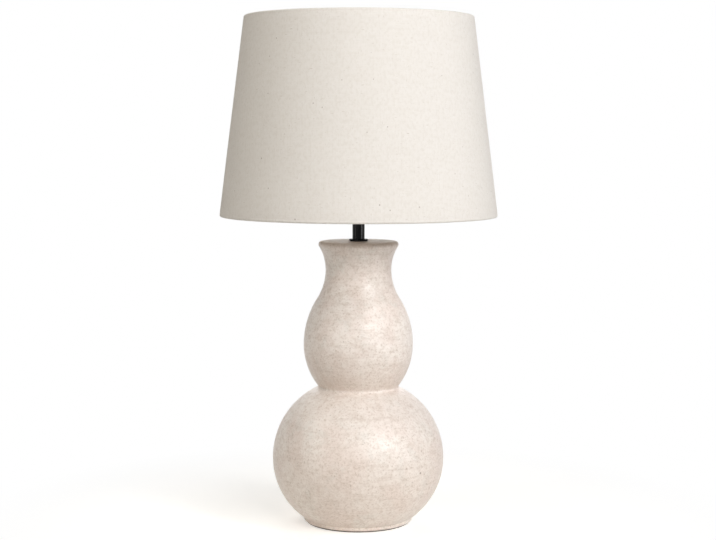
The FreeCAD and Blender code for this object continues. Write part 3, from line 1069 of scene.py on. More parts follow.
@dataclass(frozen=True)
class WoolFelt:
    """Pressed felt: matted fibres with a few pale hairs."""

    wool: Colour = ink(124, 117, 107)
    deep: Colour = ink(86, 81, 73)
    hair: Colour = ink(168, 160, 147)
    mat: Patches = Patches(1.2 * MM, 5.0, 0.75, 2.5)
    matted: Step = Step(0.4, 0.68)
    mat_depth: float = 0.45 * MM
    hairs: Patches = Patches(2.0 * MM, 3.0, 0.6, 3.0)
    hairs_long: Triple = (1.0, 7.0, 3.0)
    hairy: Step = Step(0.68, 0.76, 0.0, 0.6)
    hair_depth: float = 0.1 * MM

    def make(self) -> bpy.types.Material:
        """Builds the material.

        Returns:
            The material.
        """
        mix = Recipe("wool_felt", 0.97, Specular_IOR_Level=0.1, Sheen_Weight=0.3, Sheen_Roughness=0.5)
        here = mix.place()
        mat = mix.clouds(here, self.mat)
        colour = mix.blend(mix.ramp(mat, self.matted), self.deep, self.wool)
        hairs = mix.clouds(mix.stretched(here, self.hairs_long), self.hairs)
        colour = mix.blend(mix.ramp(hairs, self.hairy), colour, self.hair)
        mix.relief(mat, self.mat_depth)
        mix.relief(hairs, self.hair_depth)
        return mix.done(colour)


@dataclass(frozen=True)
class CastSheet:
    """The shade's stiff white lining: smooth, faintly clouded plastic."""

    white: Colour = ink(246, 243, 237)
    cloud: Colour = ink(241, 237, 230)
    clouds: Patches = Patches(30.0 * MM, 4.0, 0.6)
    cloudy: Step = Step(0.35, 0.7)
    gloss: Step = Step(0.3, 0.7, 0.48, 0.56)
    weave: Patches = Patches(1.1 * MM, 2.0, 0.6)
    depth: float = 0.04 * MM

    def make(self) -> bpy.types.Material:
        """Builds the material.

        Returns:
            The material.
        """
        mix = Recipe("cast_sheet", 0.5, Specular_IOR_Level=0.4)
        here = mix.place()
        cloud = mix.clouds(here, self.clouds)
        mix.relief(mix.clouds(here, self.weave), self.depth)
        colour = mix.blend(mix.ramp(cloud, self.cloudy), self.white, self.cloud)
        return mix.done(colour, mix.ramp(cloud, self.gloss))


@dataclass(frozen=True)
class OpalDome:
    """The bulb's milky dome, with light lost in its wall."""

    milk: Colour = ink(244, 243, 239)
    shade: Colour = ink(233, 231, 224)
    wall: float = 4.0 * MM
    clouds: Patches = Patches(14.0 * MM, 3.0)
    cloudy: Step = Step(0.35, 0.7)
    gloss: Step = Step(0.3, 0.7, 0.3, 0.4)
    grain: Patches = Patches(0.6 * MM)
    depth: float = 0.02 * MM

    def make(self) -> bpy.types.Material:
        """Builds the material.

        Returns:
            The material.
        """
        mix = Recipe("opal_dome", 0.34, Subsurface_Weight=0.25, Subsurface_Scale=self.wall)
        here = mix.place()
        cloud = mix.clouds(here, self.clouds)
        mix.relief(mix.clouds(here, self.grain), self.depth)
        colour = mix.blend(mix.ramp(cloud, self.cloudy), self.milk, self.shade)
        return mix.done(colour, mix.ramp(cloud, self.gloss))


@dataclass(frozen=True)
class FiredPorcelain:
    """White electrical porcelain with pinholes."""

    white: Colour = ink(236, 233, 224)
    grey: Colour = ink(206, 201, 190)
    clouds: Patches = Patches(5.0 * MM, 4.0, 0.6)
    cloudy: Step = Step(0.4, 0.75)
    depth: float = 0.1 * MM
    hole_spacing: float = 1.7 * MM
    hole: Step = Step(0.03, 0.09, 1.0, 0.0)
    hole_strength: float = 0.6

    def make(self) -> bpy.types.Material:
        """Builds the material.

        Returns:
            The material.
        """
        mix = Recipe("fired_porcelain", 0.35)
        here = mix.place()
        cloud = mix.clouds(here, self.clouds)
        colour = mix.blend(mix.ramp(cloud, self.cloudy), self.white, self.grey)
        holes = mix.ramp(mix.spots(here, self.hole_spacing)[0], self.hole)
        colour = mix.blend(mix.sum("MULTIPLY", holes, self.hole_strength), colour, self.grey)
        mix.relief(cloud, self.depth)
        return mix.done(colour)


def finishes(cloth_map: str) -> dict[str, bpy.types.Material]:
    """Makes every finish of the lamp.

    Args:
        cloth_map: the name of the map of the flat cloth.

    Returns:
        The materials by the record's slots, and the bare clay of the foot.
    """
    powder = Coating("white_powder_coat", ink(236, 235, 230), ink(214, 212, 205), 0.42, 0.45, 0.06 * MM)
    made = {
        "stoneware": SpeckledGlaze(),
        "bare_clay": BareClay(),
        "linen": WovenLinen(cloth_map),
        "black_metal": Coating("black_lacquer", ink(4, 4, 5), ink(9, 9, 10), 0.12, 0.1, 0.01 * MM),
        "white_wire": powder,
        "black_plastic": MouldedPlastic("black_phenolic", ink(22, 21, 20), ink(44, 42, 40), 0.34),
        "white_plastic": MouldedPlastic("white_housing", ink(238, 238, 235), ink(224, 224, 220), 0.4),
        "zinc_steel": WorkedMetal("zinc_plate", ink(190, 190, 186), ink(150, 150, 146), 0.32),
        "brass": WorkedMetal("spun_brass", ink(206, 170, 98), ink(160, 126, 68), 0.3),
        "nickel": WorkedMetal("nickel_plate", ink(202, 198, 190), ink(166, 162, 152), 0.24),
        "solder": WorkedMetal(
            "solder_tip", ink(176, 176, 178), ink(120, 120, 122), 0.45, Patches(1.0 * MM, 2.0, 0.6)
        ),
        "black_rubber": SoftRubber(),
        "board": PressedBoard(),
        "felt": WoolFelt(),
        "liner_sheet": CastSheet(),
        "opal_plastic": OpalDome(),
        "white_ceramic": FiredPorcelain(),
        "black_glass": MouldedPlastic("black_glass", ink(14, 12, 16), ink(30, 26, 34), 0.12, 0.01 * MM),
    }
    return {slot: finish.make() for slot, finish in made.items()}


# The body


@dataclass
class GourdBody:
    """The stoneware: two swellings, a flared neck and a foot ring, hollow and open below."""

    glaze: bpy.types.Material
    clay: bpy.types.Material
    foot_z: float = 1.5 * MM
    height: float = 357.0 * MM
    wall: float = 6.0 * MM
    foot_radius: float = 69.3 * MM
    foot_width: float = 11.0 * MM
    foot_edge: float = 2.5 * MM
    rebate_width: float = 3.2 * MM
    rebate_height: float = 2.5 * MM
    lower_radius: float = 109.0 * MM
    lower_height: float = 80.5 * MM
    lower_under_arc: float = 92.0 * MM
    lower_over_arc: float = 99.5 * MM
    waist_fillet: float = 2.5 * MM
    waist_arc: int = 3
    upper_radius: float = 69.4 * MM
    upper_height: float = 226.0 * MM
    upper_under_arc: float = 86.0 * MM
    neck_radius: float = 41.6 * MM
    neck_drop: float = 36.0 * MM
    shoulder_share: float = 0.6186
    lip_radius: float = 50.7 * MM
    lip_edge: float = 4.0 * MM
    top_thickness: float = 8.0 * MM
    rod_hole: float = 5.6 * MM
    inlet_height: float = 24.0 * MM
    inlet_radius: float = 4.8 * MM
    grain: float = 3.6 * MM
    least_parts: int = 6
    foot_parts: int = 3
    rim_parts: int = 9
    inner_flats: float = 9.0
    steps: int = 288
    unevenness: float = 0.22 * MM
    broad_waves: float = 16.0
    close_waves: float = 45.0
    close_share: float = 0.4
    true_foot: float = 20.0 * MM
    true_bore: Point = (20.0 * MM, 40.0 * MM)
    bare_edge_share: float = 0.4
    bare_inside: float = 200.0 * MM

    def arcs(self) -> list[tuple[Point, float, float, float]]:
        """Works out the skin's chain of arcs, each one tangent to the next but at the foot.

        Returns:
            The arcs from the foot up: centre, radius, first and last angle.
        """
        top = self.foot_z + self.height
        lower_z, upper_z = self.foot_z + self.lower_height, self.foot_z + self.upper_height
        neck_z = top - self.neck_drop
        under = (self.lower_radius - self.lower_under_arc, lower_z)
        over = (self.lower_radius - self.lower_over_arc, lower_z)
        upper_under = (self.upper_radius - self.upper_under_arc, upper_z)
        swell = self.upper_radius - self.neck_radius
        both = (swell**2 + (neck_z - upper_z) ** 2) / (2.0 * swell)
        upper_over_arc = both * self.shoulder_share
        upper_over = (self.upper_radius - upper_over_arc, upper_z)
        neck_under = (self.neck_radius + both - upper_over_arc, neck_z)
        lip = (self.lip_radius - self.lip_edge, top - self.lip_edge)
        flare = self.lip_radius - self.neck_radius
        neck_arc = ((flare - self.lip_edge) ** 2 + (lip[1] - neck_z) ** 2 - self.lip_edge**2) / (2.0 * flare)
        neck_over = (self.neck_radius + neck_arc, neck_z)
        waist = self.crossing(
            over,
            self.lower_over_arc + self.waist_fillet,
            upper_under,
            self.upper_under_arc + self.waist_fillet,
        )
        foot = -math.degrees(math.acos((self.foot_radius - under[0]) / self.lower_under_arc))
        foot_edge = (self.foot_radius - self.foot_edge, self.foot_z + self.foot_edge)
        return [
            (foot_edge, self.foot_edge, -90.0, 0.0),
            (under, self.lower_under_arc, foot, 0.0),
            (over, self.lower_over_arc, 0.0, bearing(over, waist)),
            (waist, self.waist_fillet, bearing(waist, over) % 360.0, bearing(waist, upper_under) % 360.0),
            (upper_under, self.upper_under_arc, bearing(upper_under, waist), 0.0),
            (upper_over, upper_over_arc, 0.0, bearing(upper_over, neck_under)),
            (neck_under, both - upper_over_arc, bearing(neck_under, upper_over) % 360.0, 180.0),
            (neck_over, neck_arc, 180.0, bearing(neck_over, lip) % 360.0),
            (lip, self.lip_edge, bearing(lip, neck_over), 90.0),
        ]

    @staticmethod
    def crossing(centre_a: Point, reach_a: float, centre_b: Point, reach_b: float) -> Point:
        """Where two circles cross, on the side away from the axis.

        Args:
            centre_a: the first circle's centre.
            reach_a: its radius.
            centre_b: the second circle's centre.
            reach_b: its radius.

        Returns:
            The crossing.
        """
        apart = math.dist(centre_a, centre_b)
        on_line = (reach_a**2 - reach_b**2 + apart**2) / (2.0 * apart)
        off_line = math.sqrt(reach_a**2 - on_line**2)
        line = bearing(centre_a, centre_b)
        return along(along(centre_a, line, on_line), line - 90.0, off_line)

    def outline(self) -> Section:
        """Draws the wall's whole outline, skin first and then down inside.

        Returns:
            The closed outline.
        """
        opening = self.foot_radius - self.foot_width
        rebate = opening + self.rebate_width
        drawn = Section(rebate, self.foot_z)
        drawn.line(self.foot_radius - self.foot_edge, self.foot_z, self.foot_parts)
        arcs = self.arcs()
        for centre, radius, start, end in arcs:
            drawn.line(*along(centre, start, radius))
            length = math.radians(abs(end - start)) * radius
            drawn.arc(centre, end - start, max(self.least_parts, round(length / self.grain)))
        top = self.foot_z + self.height
        ceiling = top - self.top_thickness
        waist_height = arcs[self.waist_arc][0][1]
        drawn.line(self.rod_hole, top, self.rim_parts).line(self.rod_hole, ceiling)
        for centre, radius, start, end in reversed(arcs[1:-1]):
            hollow = abs(start) > 90.0 and abs(end) > 90.0
            inner = radius + self.wall if hollow else radius - self.wall
            count = max(2, round(abs(end - start) / self.inner_flats))
            for step in range(count + 1):
                at = along(centre, end + (start - end) * step / count, inner)
                if at[1] < ceiling and (at[0] > opening or at[1] > waist_height):
                    drawn.line(*at)
        drawn.line(opening, self.foot_z + self.rebate_height)
        drawn.line(rebate, self.foot_z + self.rebate_height)
        return drawn.line(rebate, self.foot_z)

    def inlet(self) -> Matrix:
        """Finds where the flex's hole goes through the skin, square to it at the back.

        Returns:
            The drill's place, its Z axis along the hole.
        """
        angle = math.degrees(math.asin((self.inlet_height - self.lower_height) / self.lower_under_arc))
        under = (self.lower_radius - self.lower_under_arc, self.foot_z + self.lower_height)
        radius, height = along(under, angle, self.lower_under_arc)
        out = Vector((0.0, cos(angle), sin(angle)))
        turn = out.to_track_quat("Z", "Y").to_matrix().to_4x4()
        return Matrix.Translation((0.0, radius, height)) @ turn

    def build(self) -> bpy.types.Object:
        """Turns the body, makes it faintly uneven, drills it and fits it.

        Returns:
            The glazed body.
        """
        mesh = self.outline().turned(self.steps)
        for vert in mesh.verts:
            out = outward(vert.co)
            free = smooth_step(vert.co.z, self.foot_z, self.foot_z + self.true_foot)
            free *= smooth_step(out.length, *self.true_bore)
            shift = wobble(*(vert.co * self.broad_waves))
            shift += self.close_share * wobble(*(vert.co * self.close_waves))
            vert.co += out.normalized() * shift * free * self.unevenness
        glazed_from = self.foot_z + self.bare_edge_share * self.foot_edge
        for face in mesh.faces:
            middle = face.calc_center_median()
            inside = face.normal.dot(outward(middle)) < 0.0 and middle.z < self.bare_inside
            face.material_index = 1 if inside or middle.z < glazed_from else 0
        piece = make_piece(mesh, "glazed_body")
        drill(piece, self.inlet_radius, 3.0 * self.wall, self.inlet())
        dress(piece, self.glaze, self.clay)
        return fit(piece, Body.BASE, "stoneware", "gourd_body")


# Under the foot


@dataclass
class FeltPad:
    """The felt glued under the foot: cut with scissors, with a soft edge."""

    felt: bpy.types.Material
    radius: float = 66.7 * MM
    thickness: float = 1.5 * MM
    soft: float = 0.45 * MM
    parts: int = 22
    steps: int = 220
    cut_from: float = 0.8
    cut_share: float = 0.006
    cut_waves: float = 110.0
    cut_inward: float = 0.6
    nap: float = 0.12 * MM
    nap_waves: float = 90.0

    def build(self) -> bpy.types.Object:
        """Returns:
            The pad.
        """
        drawn = Section(0.0, self.thickness)
        drawn.line(self.radius - self.soft, self.thickness, self.parts).bend(self.soft, -90.0)
        drawn.line(self.radius, self.soft).bend(self.soft, -90.0).line(0.0, 0.0, self.parts)
        mesh = drawn.turned(self.steps)
        for vert in mesh.verts:
            out = outward(vert.co)
            cut = smooth_step(out.length, self.cut_from * self.radius, self.radius)
            vert.co += out * self.cut_share * cut * (wobble(*(out * self.cut_waves)) - self.cut_inward)
            if vert.co.z < 0.5 * self.thickness:
                vert.co.z += self.nap * (0.5 + 0.5 * wobble(*(out * self.nap_waves)))
        piece = dress(make_piece(mesh, "felt_disc", 60.0), self.felt)
        fit(piece, Body.BASE, "felt", "felt_pad")
        return piece


# Stem and lampholder


@dataclass
class StemRose:
    """The black rose on the neck, its edges rolled over, with the spigot in the stem."""

    lacquer: bpy.types.Material
    bottom: float = 359.1 * MM
    top: float = 361.5 * MM
    radius: float = 11.9 * MM
    bore: float = 5.0 * MM
    spigot: float = 6.45 * MM
    spigot_top: float = 364.5 * MM
    eased: float = 0.3 * MM
    rolled: float = 0.9 * MM
    steps: int = 128

    def build(self) -> bpy.types.Object:
        """Turns the rose and fits it.

        Returns:
            The rose.
        """
        drawn = Section(self.bore, self.bottom).rounded(
            [
                (self.radius, self.bottom, self.eased),
                (self.radius, self.top, self.rolled),
                (self.spigot, self.top, 0.0),
                (self.spigot, self.spigot_top, self.eased),
                (self.bore, self.spigot_top, 0.0),
                (self.bore, self.bottom, 0.0),
            ]
        )
        piece = dress(make_piece(drawn.turned(self.steps), "rolled_rose"), self.lacquer)
        return fit(piece, Body.BASE, "black_metal", "neck_flange")


@dataclass
class Lampholder:
    """The phenolic lampholder: a cap, a skirt with a helical thread, and its clamp ring."""

    phenolic: bpy.types.Material
    steps: int = 192
    # The cap
    foot: float = 408.0 * MM
    floor: float = 6.0 * MM
    floor_slope: float = 5.0 * MM
    boss_radius: float = 9.5 * MM
    boss_height: float = 3.0 * MM
    cap_radius: float = 20.0 * MM
    cone_height: float = 12.5 * MM
    cap_top: float = 430.0 * MM
    grooves: int = 3
    grooves_from: float = 14.6 * MM
    groove_pitch: float = 1.7 * MM
    groove_width: float = 1.1 * MM
    groove_centre: float = 0.25 * MM
    groove_arc: float = -131.0
    groove_parts: int = 6
    rod_radius: float = 5.0 * MM
    screw_out: float = 9.0 * MM
    screw_height: float = 1.8 * MM
    screw_radius: float = 1.5 * MM
    screw_length: float = 8.0 * MM
    socket_radius: float = 17.8 * MM
    chamber_radius: float = 15.0 * MM
    ledge: float = 426.0 * MM
    # The skirt
    slack: float = 0.1 * MM
    bore: float = 16.2 * MM
    collar: float = 1.6 * MM
    collar_height: float = 1.5 * MM
    root: float = 18.75 * MM
    mouth: float = 463.0 * MM
    shoulder_radius: float = 23.5 * MM
    shoulder_edge: float = 1.0 * MM
    shoulder_top: float = 434.0 * MM
    # The thread
    ridge: float = 1.0 * MM
    pitch: float = 2.8 * MM
    thread_from: float = 436.0 * MM
    thread_to: float = 451.2 * MM
    thread_sides: int = 12
    thread_stretch: float = 1.1
    thread_in: float = 0.05 * MM
    thread_sunk: float = 0.4 * MM
    thread_steps: int = 72
    run_out: Point = (-0.02, 0.22)
    # The clamp ring
    ring_bottom: float = 435.9 * MM
    ring_height: float = 9.2 * MM
    ring_radius: float = 26.5 * MM
    ring_play: float = 0.3 * MM
    grips: int = 24
    grip_steps: int = 20
    scallop: float = 1.6 * MM
    scallop_depth: float = 0.7 * MM

    def cap(self) -> bpy.types.Object:
        """Builds the lower half, with grooves for the fingers and a hole for the lock screw.

        Returns:
            The cap.
        """
        floor = self.foot + self.floor
        drawn = Section(self.rod_radius, self.foot).rounded(
            [
                (self.boss_radius, self.foot, 0.6 * MM),
                (self.boss_radius, self.foot + self.boss_height, 0.5 * MM),
                (self.cap_radius, self.foot + self.cone_height, 2.6 * MM),
                (self.cap_radius, self.foot + self.grooves_from, 0.0),
            ],
            parts=6,
        )
        for groove in range(self.grooves):
            low = self.foot + self.grooves_from + self.groove_pitch * groove
            drawn.line(self.cap_radius, low)
            middle = (self.cap_radius + self.groove_centre, low + 0.5 * self.groove_width)
            drawn.arc(middle, self.groove_arc, self.groove_parts)
            drawn.line(self.cap_radius, low + self.groove_width)
        drawn.rounded(
            [
                (self.cap_radius, self.cap_top, 0.4 * MM),
                (self.socket_radius, self.cap_top, 0.0),
                (self.socket_radius, self.ledge, 0.0),
                (self.chamber_radius, self.ledge, 0.0),
                (self.chamber_radius, floor + self.floor_slope, 0.0),
                (self.chamber_radius - self.floor_slope, floor, 0.0),
                (self.rod_radius, floor, 0.0),
                (self.rod_radius, self.foot, 0.0),
            ]
        )
        piece = make_piece(drawn.turned(self.steps), "moulded_cap")
        screw_at = Matrix.Translation((0.0, self.screw_out, self.foot + self.screw_height))
        turn = Matrix.Rotation(math.radians(90.0), 4, "X")
        drill(piece, self.screw_radius, self.screw_length, screw_at @ turn)
        dress(piece, self.phenolic)
        return fit(piece, Body.BASE, "black_plastic", "holder_cap")

    def skirt(self) -> bpy.types.Object:
        """Builds the upper half: the shade's shoulder, the thread and a plain mouth.

        Returns:
            The skirt.
        """
        collar_top = self.shoulder_top + self.collar_height
        drawn = Section(self.bore, self.ledge).rounded(
            [
                (self.socket_radius - self.slack, self.ledge, 0.2 * MM),
                (self.socket_radius - self.slack, self.cap_top, 0.0),
                (self.cap_radius, self.cap_top, 0.3 * MM),
                (self.cap_radius, self.cap_top + self.shoulder_edge, 0.3 * MM),
                (self.shoulder_radius, self.cap_top + self.shoulder_edge, 0.8 * MM),
                (self.shoulder_radius, self.shoulder_top, 0.6 * MM),
                (self.root, self.shoulder_top, 0.0),
                (self.root, self.mouth, 0.9 * MM),
                (self.bore, self.mouth, 0.4 * MM),
                (self.bore, collar_top, 0.0),
                (self.bore - self.collar, collar_top, 0.2 * MM),
                (self.bore - self.collar, self.shoulder_top, 0.0),
                (self.bore, self.shoulder_top, 0.0),
                (self.bore, self.ledge, 0.0),
            ]
        )
        mesh = drawn.turned(self.steps)
        mesh.from_mesh(self.wind_thread())
        piece = dress(make_piece(mesh, "threaded_skirt"), self.phenolic)
        return fit(piece, Body.BASE, "black_plastic", "holder_shell")

    def wind_thread(self) -> bpy.types.Mesh:
        """Winds a rounded ridge round the skirt that runs out at both ends.

        Returns:
            The ridge's mesh, its inner half sunk in the skirt.
        """
        mesh = bmesh.new()
        climb = self.thread_to - self.thread_from
        turns = climb / self.pitch
        steps = round(turns * self.thread_steps)
        centre = Matrix.Translation((self.root - self.thread_in, 0.0, self.thread_from))
        stand_up = Matrix.Rotation(math.radians(90.0), 4, "X")
        taller = Matrix.Diagonal((1.0, self.thread_stretch, 1.0, 1.0))
        bmesh.ops.create_circle(
            mesh,
            cap_ends=True,
            segments=self.thread_sides,
            radius=self.ridge,
            matrix=centre @ stand_up @ taller,
        )
        bmesh.ops.spin(
            mesh,
            geom=mesh.verts[:] + mesh.edges[:] + mesh.faces[:],
            dvec=(0.0, 0.0, climb / steps),
            angle=math.tau * turns,
            steps=steps,
            **ABOUT_Z,
        )
        for vert in mesh.verts:
            turned = math.atan2(vert.co.y, vert.co.x) % math.tau / math.tau
            climbed = (vert.co.z - self.thread_from) / self.pitch
            done = turned + round(climbed - turned)
            stands = smooth_step(done, *self.run_out) * smooth_step(turns - done, *self.run_out)
            out = outward(vert.co)
            sunk = self.root - self.thread_sunk
            vert.co += out.normalized() * (stands - 1.0) * (out.length - sunk)
        bmesh.ops.recalc_face_normals(mesh, faces=mesh.faces[:])
        wound = bpy.data.meshes.new("thread")
        mesh.to_mesh(wound)
        mesh.free()
        return wound

    def clamp_ring(self) -> bpy.types.Object:
        """Builds the ring that holds the shade down, scalloped all round.

        Returns:
            The ring.
        """
        top = self.ring_bottom + self.ring_height
        bore = self.root + self.ridge + self.ring_play
        drawn = Section(bore, self.ring_bottom).rounded(
            [
                (self.ring_radius, self.ring_bottom, 0.8 * MM),
                (self.ring_radius, top, 1.1 * MM),
                (bore, top, 0.7 * MM),
                (bore, self.ring_bottom, 0.0),
            ],
            parts=5,
        )
        mesh = drawn.turned(self.grips * self.grip_steps)
        reach = self.ring_radius + self.scallop - self.scallop_depth
        squares = reach**2 + self.ring_radius**2 - self.scallop**2
        half = math.acos(squares / (2.0 * reach * self.ring_radius))
        for vert in mesh.verts:
            out = outward(vert.co)
            away = math.atan2(out.y, out.x) % (math.tau / self.grips)
            away = min(away, math.tau / self.grips - away)
            if away < half and out.length > self.ring_radius - self.scallop_depth:
                wall = reach * math.cos(away) - math.sqrt(self.scallop**2 - (reach * math.sin(away)) ** 2)
                vert.co -= out.normalized() * max(0.0, out.length - wall)
        piece = dress(make_piece(mesh, "scalloped_ring", 50.0), self.phenolic)
        return fit(piece, Body.RING, "black_plastic", "clamp_ring")

    def build(self) -> None:
        """Builds the cap, the skirt and the ring."""
        self.cap()
        self.skirt()
        self.clamp_ring()


# The shade


@dataclass
class WeldBeads:
    """The coated welds that join the carrier's arms to its ring."""

    coating: bpy.types.Material
    ring_radius: float = 28.5 * MM
    height: float = 433.5 * MM
    first: float = 90.0
    arms: int = 3
    inset: float = 1.9 * MM
    aside: float = 1.35 * MM
    half_size: Triple = (2.1 * MM, 0.8 * MM, 0.7 * MM)
    lumps: float = 0.12 * MM
    lump_waves: float = 1400.0

    def build(self) -> bpy.types.Object:
        """Lays one lumpy bead on each side of every arm's end.

        Returns:
            The beads, as one piece.
        """
        mesh = bmesh.new()
        shape = Matrix.Diagonal((*self.half_size, 1.0))
        for arm in range(self.arms):
            turn = Matrix.Rotation(math.radians(self.first + arm * 360.0 / self.arms), 4, "Z")
            for side in (-self.aside, self.aside):
                place = Matrix.Translation((self.ring_radius - self.inset, side, self.height))
                bead = bmesh.ops.create_icosphere(
                    mesh, subdivisions=3, radius=1.0, matrix=turn @ place @ shape
                )
                for vert in bead["verts"]:
                    vert.co += Vector((0.0, 0.0, self.lumps)) * wobble(*(vert.co * self.lump_waves))
        piece = dress(make_piece(mesh, "weld_beads", 80.0), self.coating)
        return fit(piece, Body.SHADE, "white_wire")


@dataclass
class LinenCover:
    """The linen: one cloth laminated round the lining, its edges rolled over the wires."""

    linen: bpy.types.Material
    cloth_map: str
    # How the cloth goes round the wires
    bottom_wire: Point = (172.8 * MM, 392.2 * MM)
    top_wire: Point = (141.8 * MM, 637.8 * MM)
    roll: float = 2.2 * MM
    cloth: float = 0.6 * MM
    flat: Point = (1.1, 0.38)
    wrap: float = 240.0
    rest: float = 20.0
    tuck: float = 0.4 * MM
    tuck_end: float = 11.4 * MM
    fold: float = 1.1 * MM
    fold_run: float = 1.5 * MM
    groove: float = 0.18 * MM
    groove_shape: tuple[Point, ...] = ((1.45 * MM, 0.95), (1.95 * MM, 1.0), (2.5 * MM, 0.3), (3.1 * MM, 0.0))
    # Where it laps itself
    seam: float = 90.0
    lap: float = 12.0 * MM
    lap_gap: float = 0.1 * MM
    lap_steps: int = 8
    climb: float = 0.04
    climb_done: float = 0.2
    # Its slack on the wall and its puckers at the wires
    slack: float = 0.16 * MM
    slack_waves: Point = (2.6, 9.0)
    pucker: float = 0.11 * MM
    pucker_waves: Point = (26.0, 60.0)
    puckered: float = 20.0 * MM
    # Its mesh
    steps: int = 448
    sectors: int = 16
    wall_parts: int = 30
    roll_parts: int = 22
    tuck_parts: int = 5

    @property
    def up(self) -> float:
        """The wall's direction from the lower wire to the upper, in degrees."""
        return bearing(self.bottom_wire, self.top_wire)

    def on_wall(self, wire: Point, up: float, out: float) -> Point:
        """The point this far up the wall from a wire's centre, and this far out from it."""
        return along(along(wire, self.up, up), self.up - 90.0, out)

    def outline(self) -> Section:
        """Draws the cloth's outer face in section: tucked end, roll, wall, roll, tucked end.

        Returns:
            The open outline.
        """
        slope = math.radians(self.wrap - 180.0)
        corner = self.roll * math.sin(slope) + (self.tuck + self.roll * math.cos(slope)) / math.tan(slope)
        groove = [(up, self.roll - share * self.groove) for up, share in self.groove_shape]
        drawn = Section(*self.on_wall(self.bottom_wire, self.tuck_end, self.tuck))
        folded = self.on_wall(self.bottom_wire, corner + self.fold_run, self.tuck)
        drawn.line(*folded, self.tuck_parts)
        drawn.rounded(
            [
                (*self.on_wall(self.bottom_wire, corner, self.tuck), self.fold),
                (*along(self.bottom_wire, self.up - 90.0 - self.wrap, self.roll), 0.0),
            ]
        )
        drawn.arc(self.bottom_wire, self.wrap + self.rest, self.roll_parts)
        for up, out in groove:
            drawn.line(*self.on_wall(self.bottom_wire, up, out))
        for number, (up, out) in enumerate(reversed(groove)):
            parts = self.wall_parts if number == 0 else 1
            drawn.line(*self.on_wall(self.top_wire, -up, out), parts)
        drawn.line(*along(self.top_wire, self.up - 90.0 - self.rest, self.roll))
        drawn.arc(self.top_wire, self.wrap + self.rest, self.roll_parts)
        drawn.rounded(
            [
                (*self.on_wall(self.top_wire, -corner, self.tuck), self.fold),
                (*self.on_wall(self.top_wire, -corner - self.fold_run, self.tuck), 0.0),
            ]
        )
        return drawn.line(*self.on_wall(self.top_wire, -self.tuck_end, self.tuck), self.tuck_parts)

    def wrapped(self) -> BMesh:
        """Wraps the outline round the frame and a little further, so that it laps itself.

        Returns:
            The open sheet, with each point's run over the cloth and turn from the seam.
        """
        drawn = self.outline()
        mesh = drawn.mesh
        run = mesh.verts.layers.float.new("run")
        turn = mesh.verts.layers.float.new("turn")
        level = self.on_wall(self.bottom_wire, 0.0, self.roll)[1]
        ends = [vert for vert in mesh.verts if len(vert.link_edges) == 1]
        vert, came, length, zero = min(ends, key=lambda end: end.co.z), None, 0.0, 0.0
        while vert is not None:
            vert[run] = length
            ahead = next((edge for edge in vert.link_edges if edge is not came), None)
            if ahead is None:
                break
            other = ahead.other_vert(vert)
            out_side = vert.co.x > self.bottom_wire[0] and other.co.z > vert.co.z
            if out_side and vert.co.z <= level <= other.co.z:
                zero = length
            length += ahead.calc_length()
            vert, came = other, ahead
        for vert in mesh.verts:
            vert[run] -= zero
        start = Matrix.Rotation(math.radians(self.seam), 3, "Z")
        bmesh.ops.rotate(mesh, verts=mesh.verts[:], cent=(0.0, 0.0, 0.0), matrix=start)
        slit = [(edge.verts[0].co.copy(), edge.verts[1].co.copy()) for edge in mesh.edges]
        seam_points = {self.key(point) for pair in slit for point in pair}
        drawn.swept(self.steps, self.sectors)
        on_seam = [
            edge for edge in mesh.edges if all(self.key(vert.co) in seam_points for vert in edge.verts)
        ]
        bmesh.ops.split_edges(mesh, edges=on_seam)
        last = []
        for vert in mesh.verts:
            vert[turn] = self.turned_by(vert.co)
            if self.key(vert.co) in seam_points:
                middle = self.turned_by(vert.link_faces[0].calc_center_median())
                vert[turn] = 0.0 if middle < math.pi else math.tau
                last += [vert] if middle > math.pi else []
        ending = set(last)
        edges = [edge for edge in mesh.edges if edge.verts[0] in ending and edge.verts[1] in ending]
        before = set(mesh.verts)
        bmesh.ops.spin(
            mesh,
            geom=last + edges,
            angle=self.lap / self.bottom_wire[0],
            steps=self.lap_steps,
            **ABOUT_Z,
        )
        for vert in mesh.verts:
            if vert not in before:
                vert[turn] = math.tau + self.turned_by(vert.co)
        return mesh

    @staticmethod
    def key(point: Vector) -> tuple[int, int, int]:
        """A point's name, the same for points that lie on each other."""
        return tuple(round(value / (10.0 * SAME_POINT)) for value in point)

    def turned_by(self, point: Vector) -> float:
        """How far round from the seam a point is, from 0 to a full turn."""
        return (math.atan2(point.y, point.x) - math.radians(self.seam)) % math.tau

    def lay_flat(self, mesh: BMesh) -> None:
        """Writes each point's place on the flat cloth, which is cut as part of a ring.

        Args:
            mesh: the wrapped sheet, with its runs and turns.
        """
        run, turn = mesh.verts.layers.float["run"], mesh.verts.layers.float["turn"]
        flat = mesh.loops.layers.uv.new(self.cloth_map)
        wall = math.dist(self.bottom_wire, self.top_wire)
        narrowing = (self.bottom_wire[0] - self.top_wire[0]) / wall
        reach = self.bottom_wire[0] / narrowing
        for face in mesh.faces:
            for loop in face.loops:
                angle = (loop.vert[turn] - math.pi) * narrowing
                away = reach - loop.vert[run]
                loop[flat].uv = (away * math.sin(angle), reach - away * math.cos(angle))

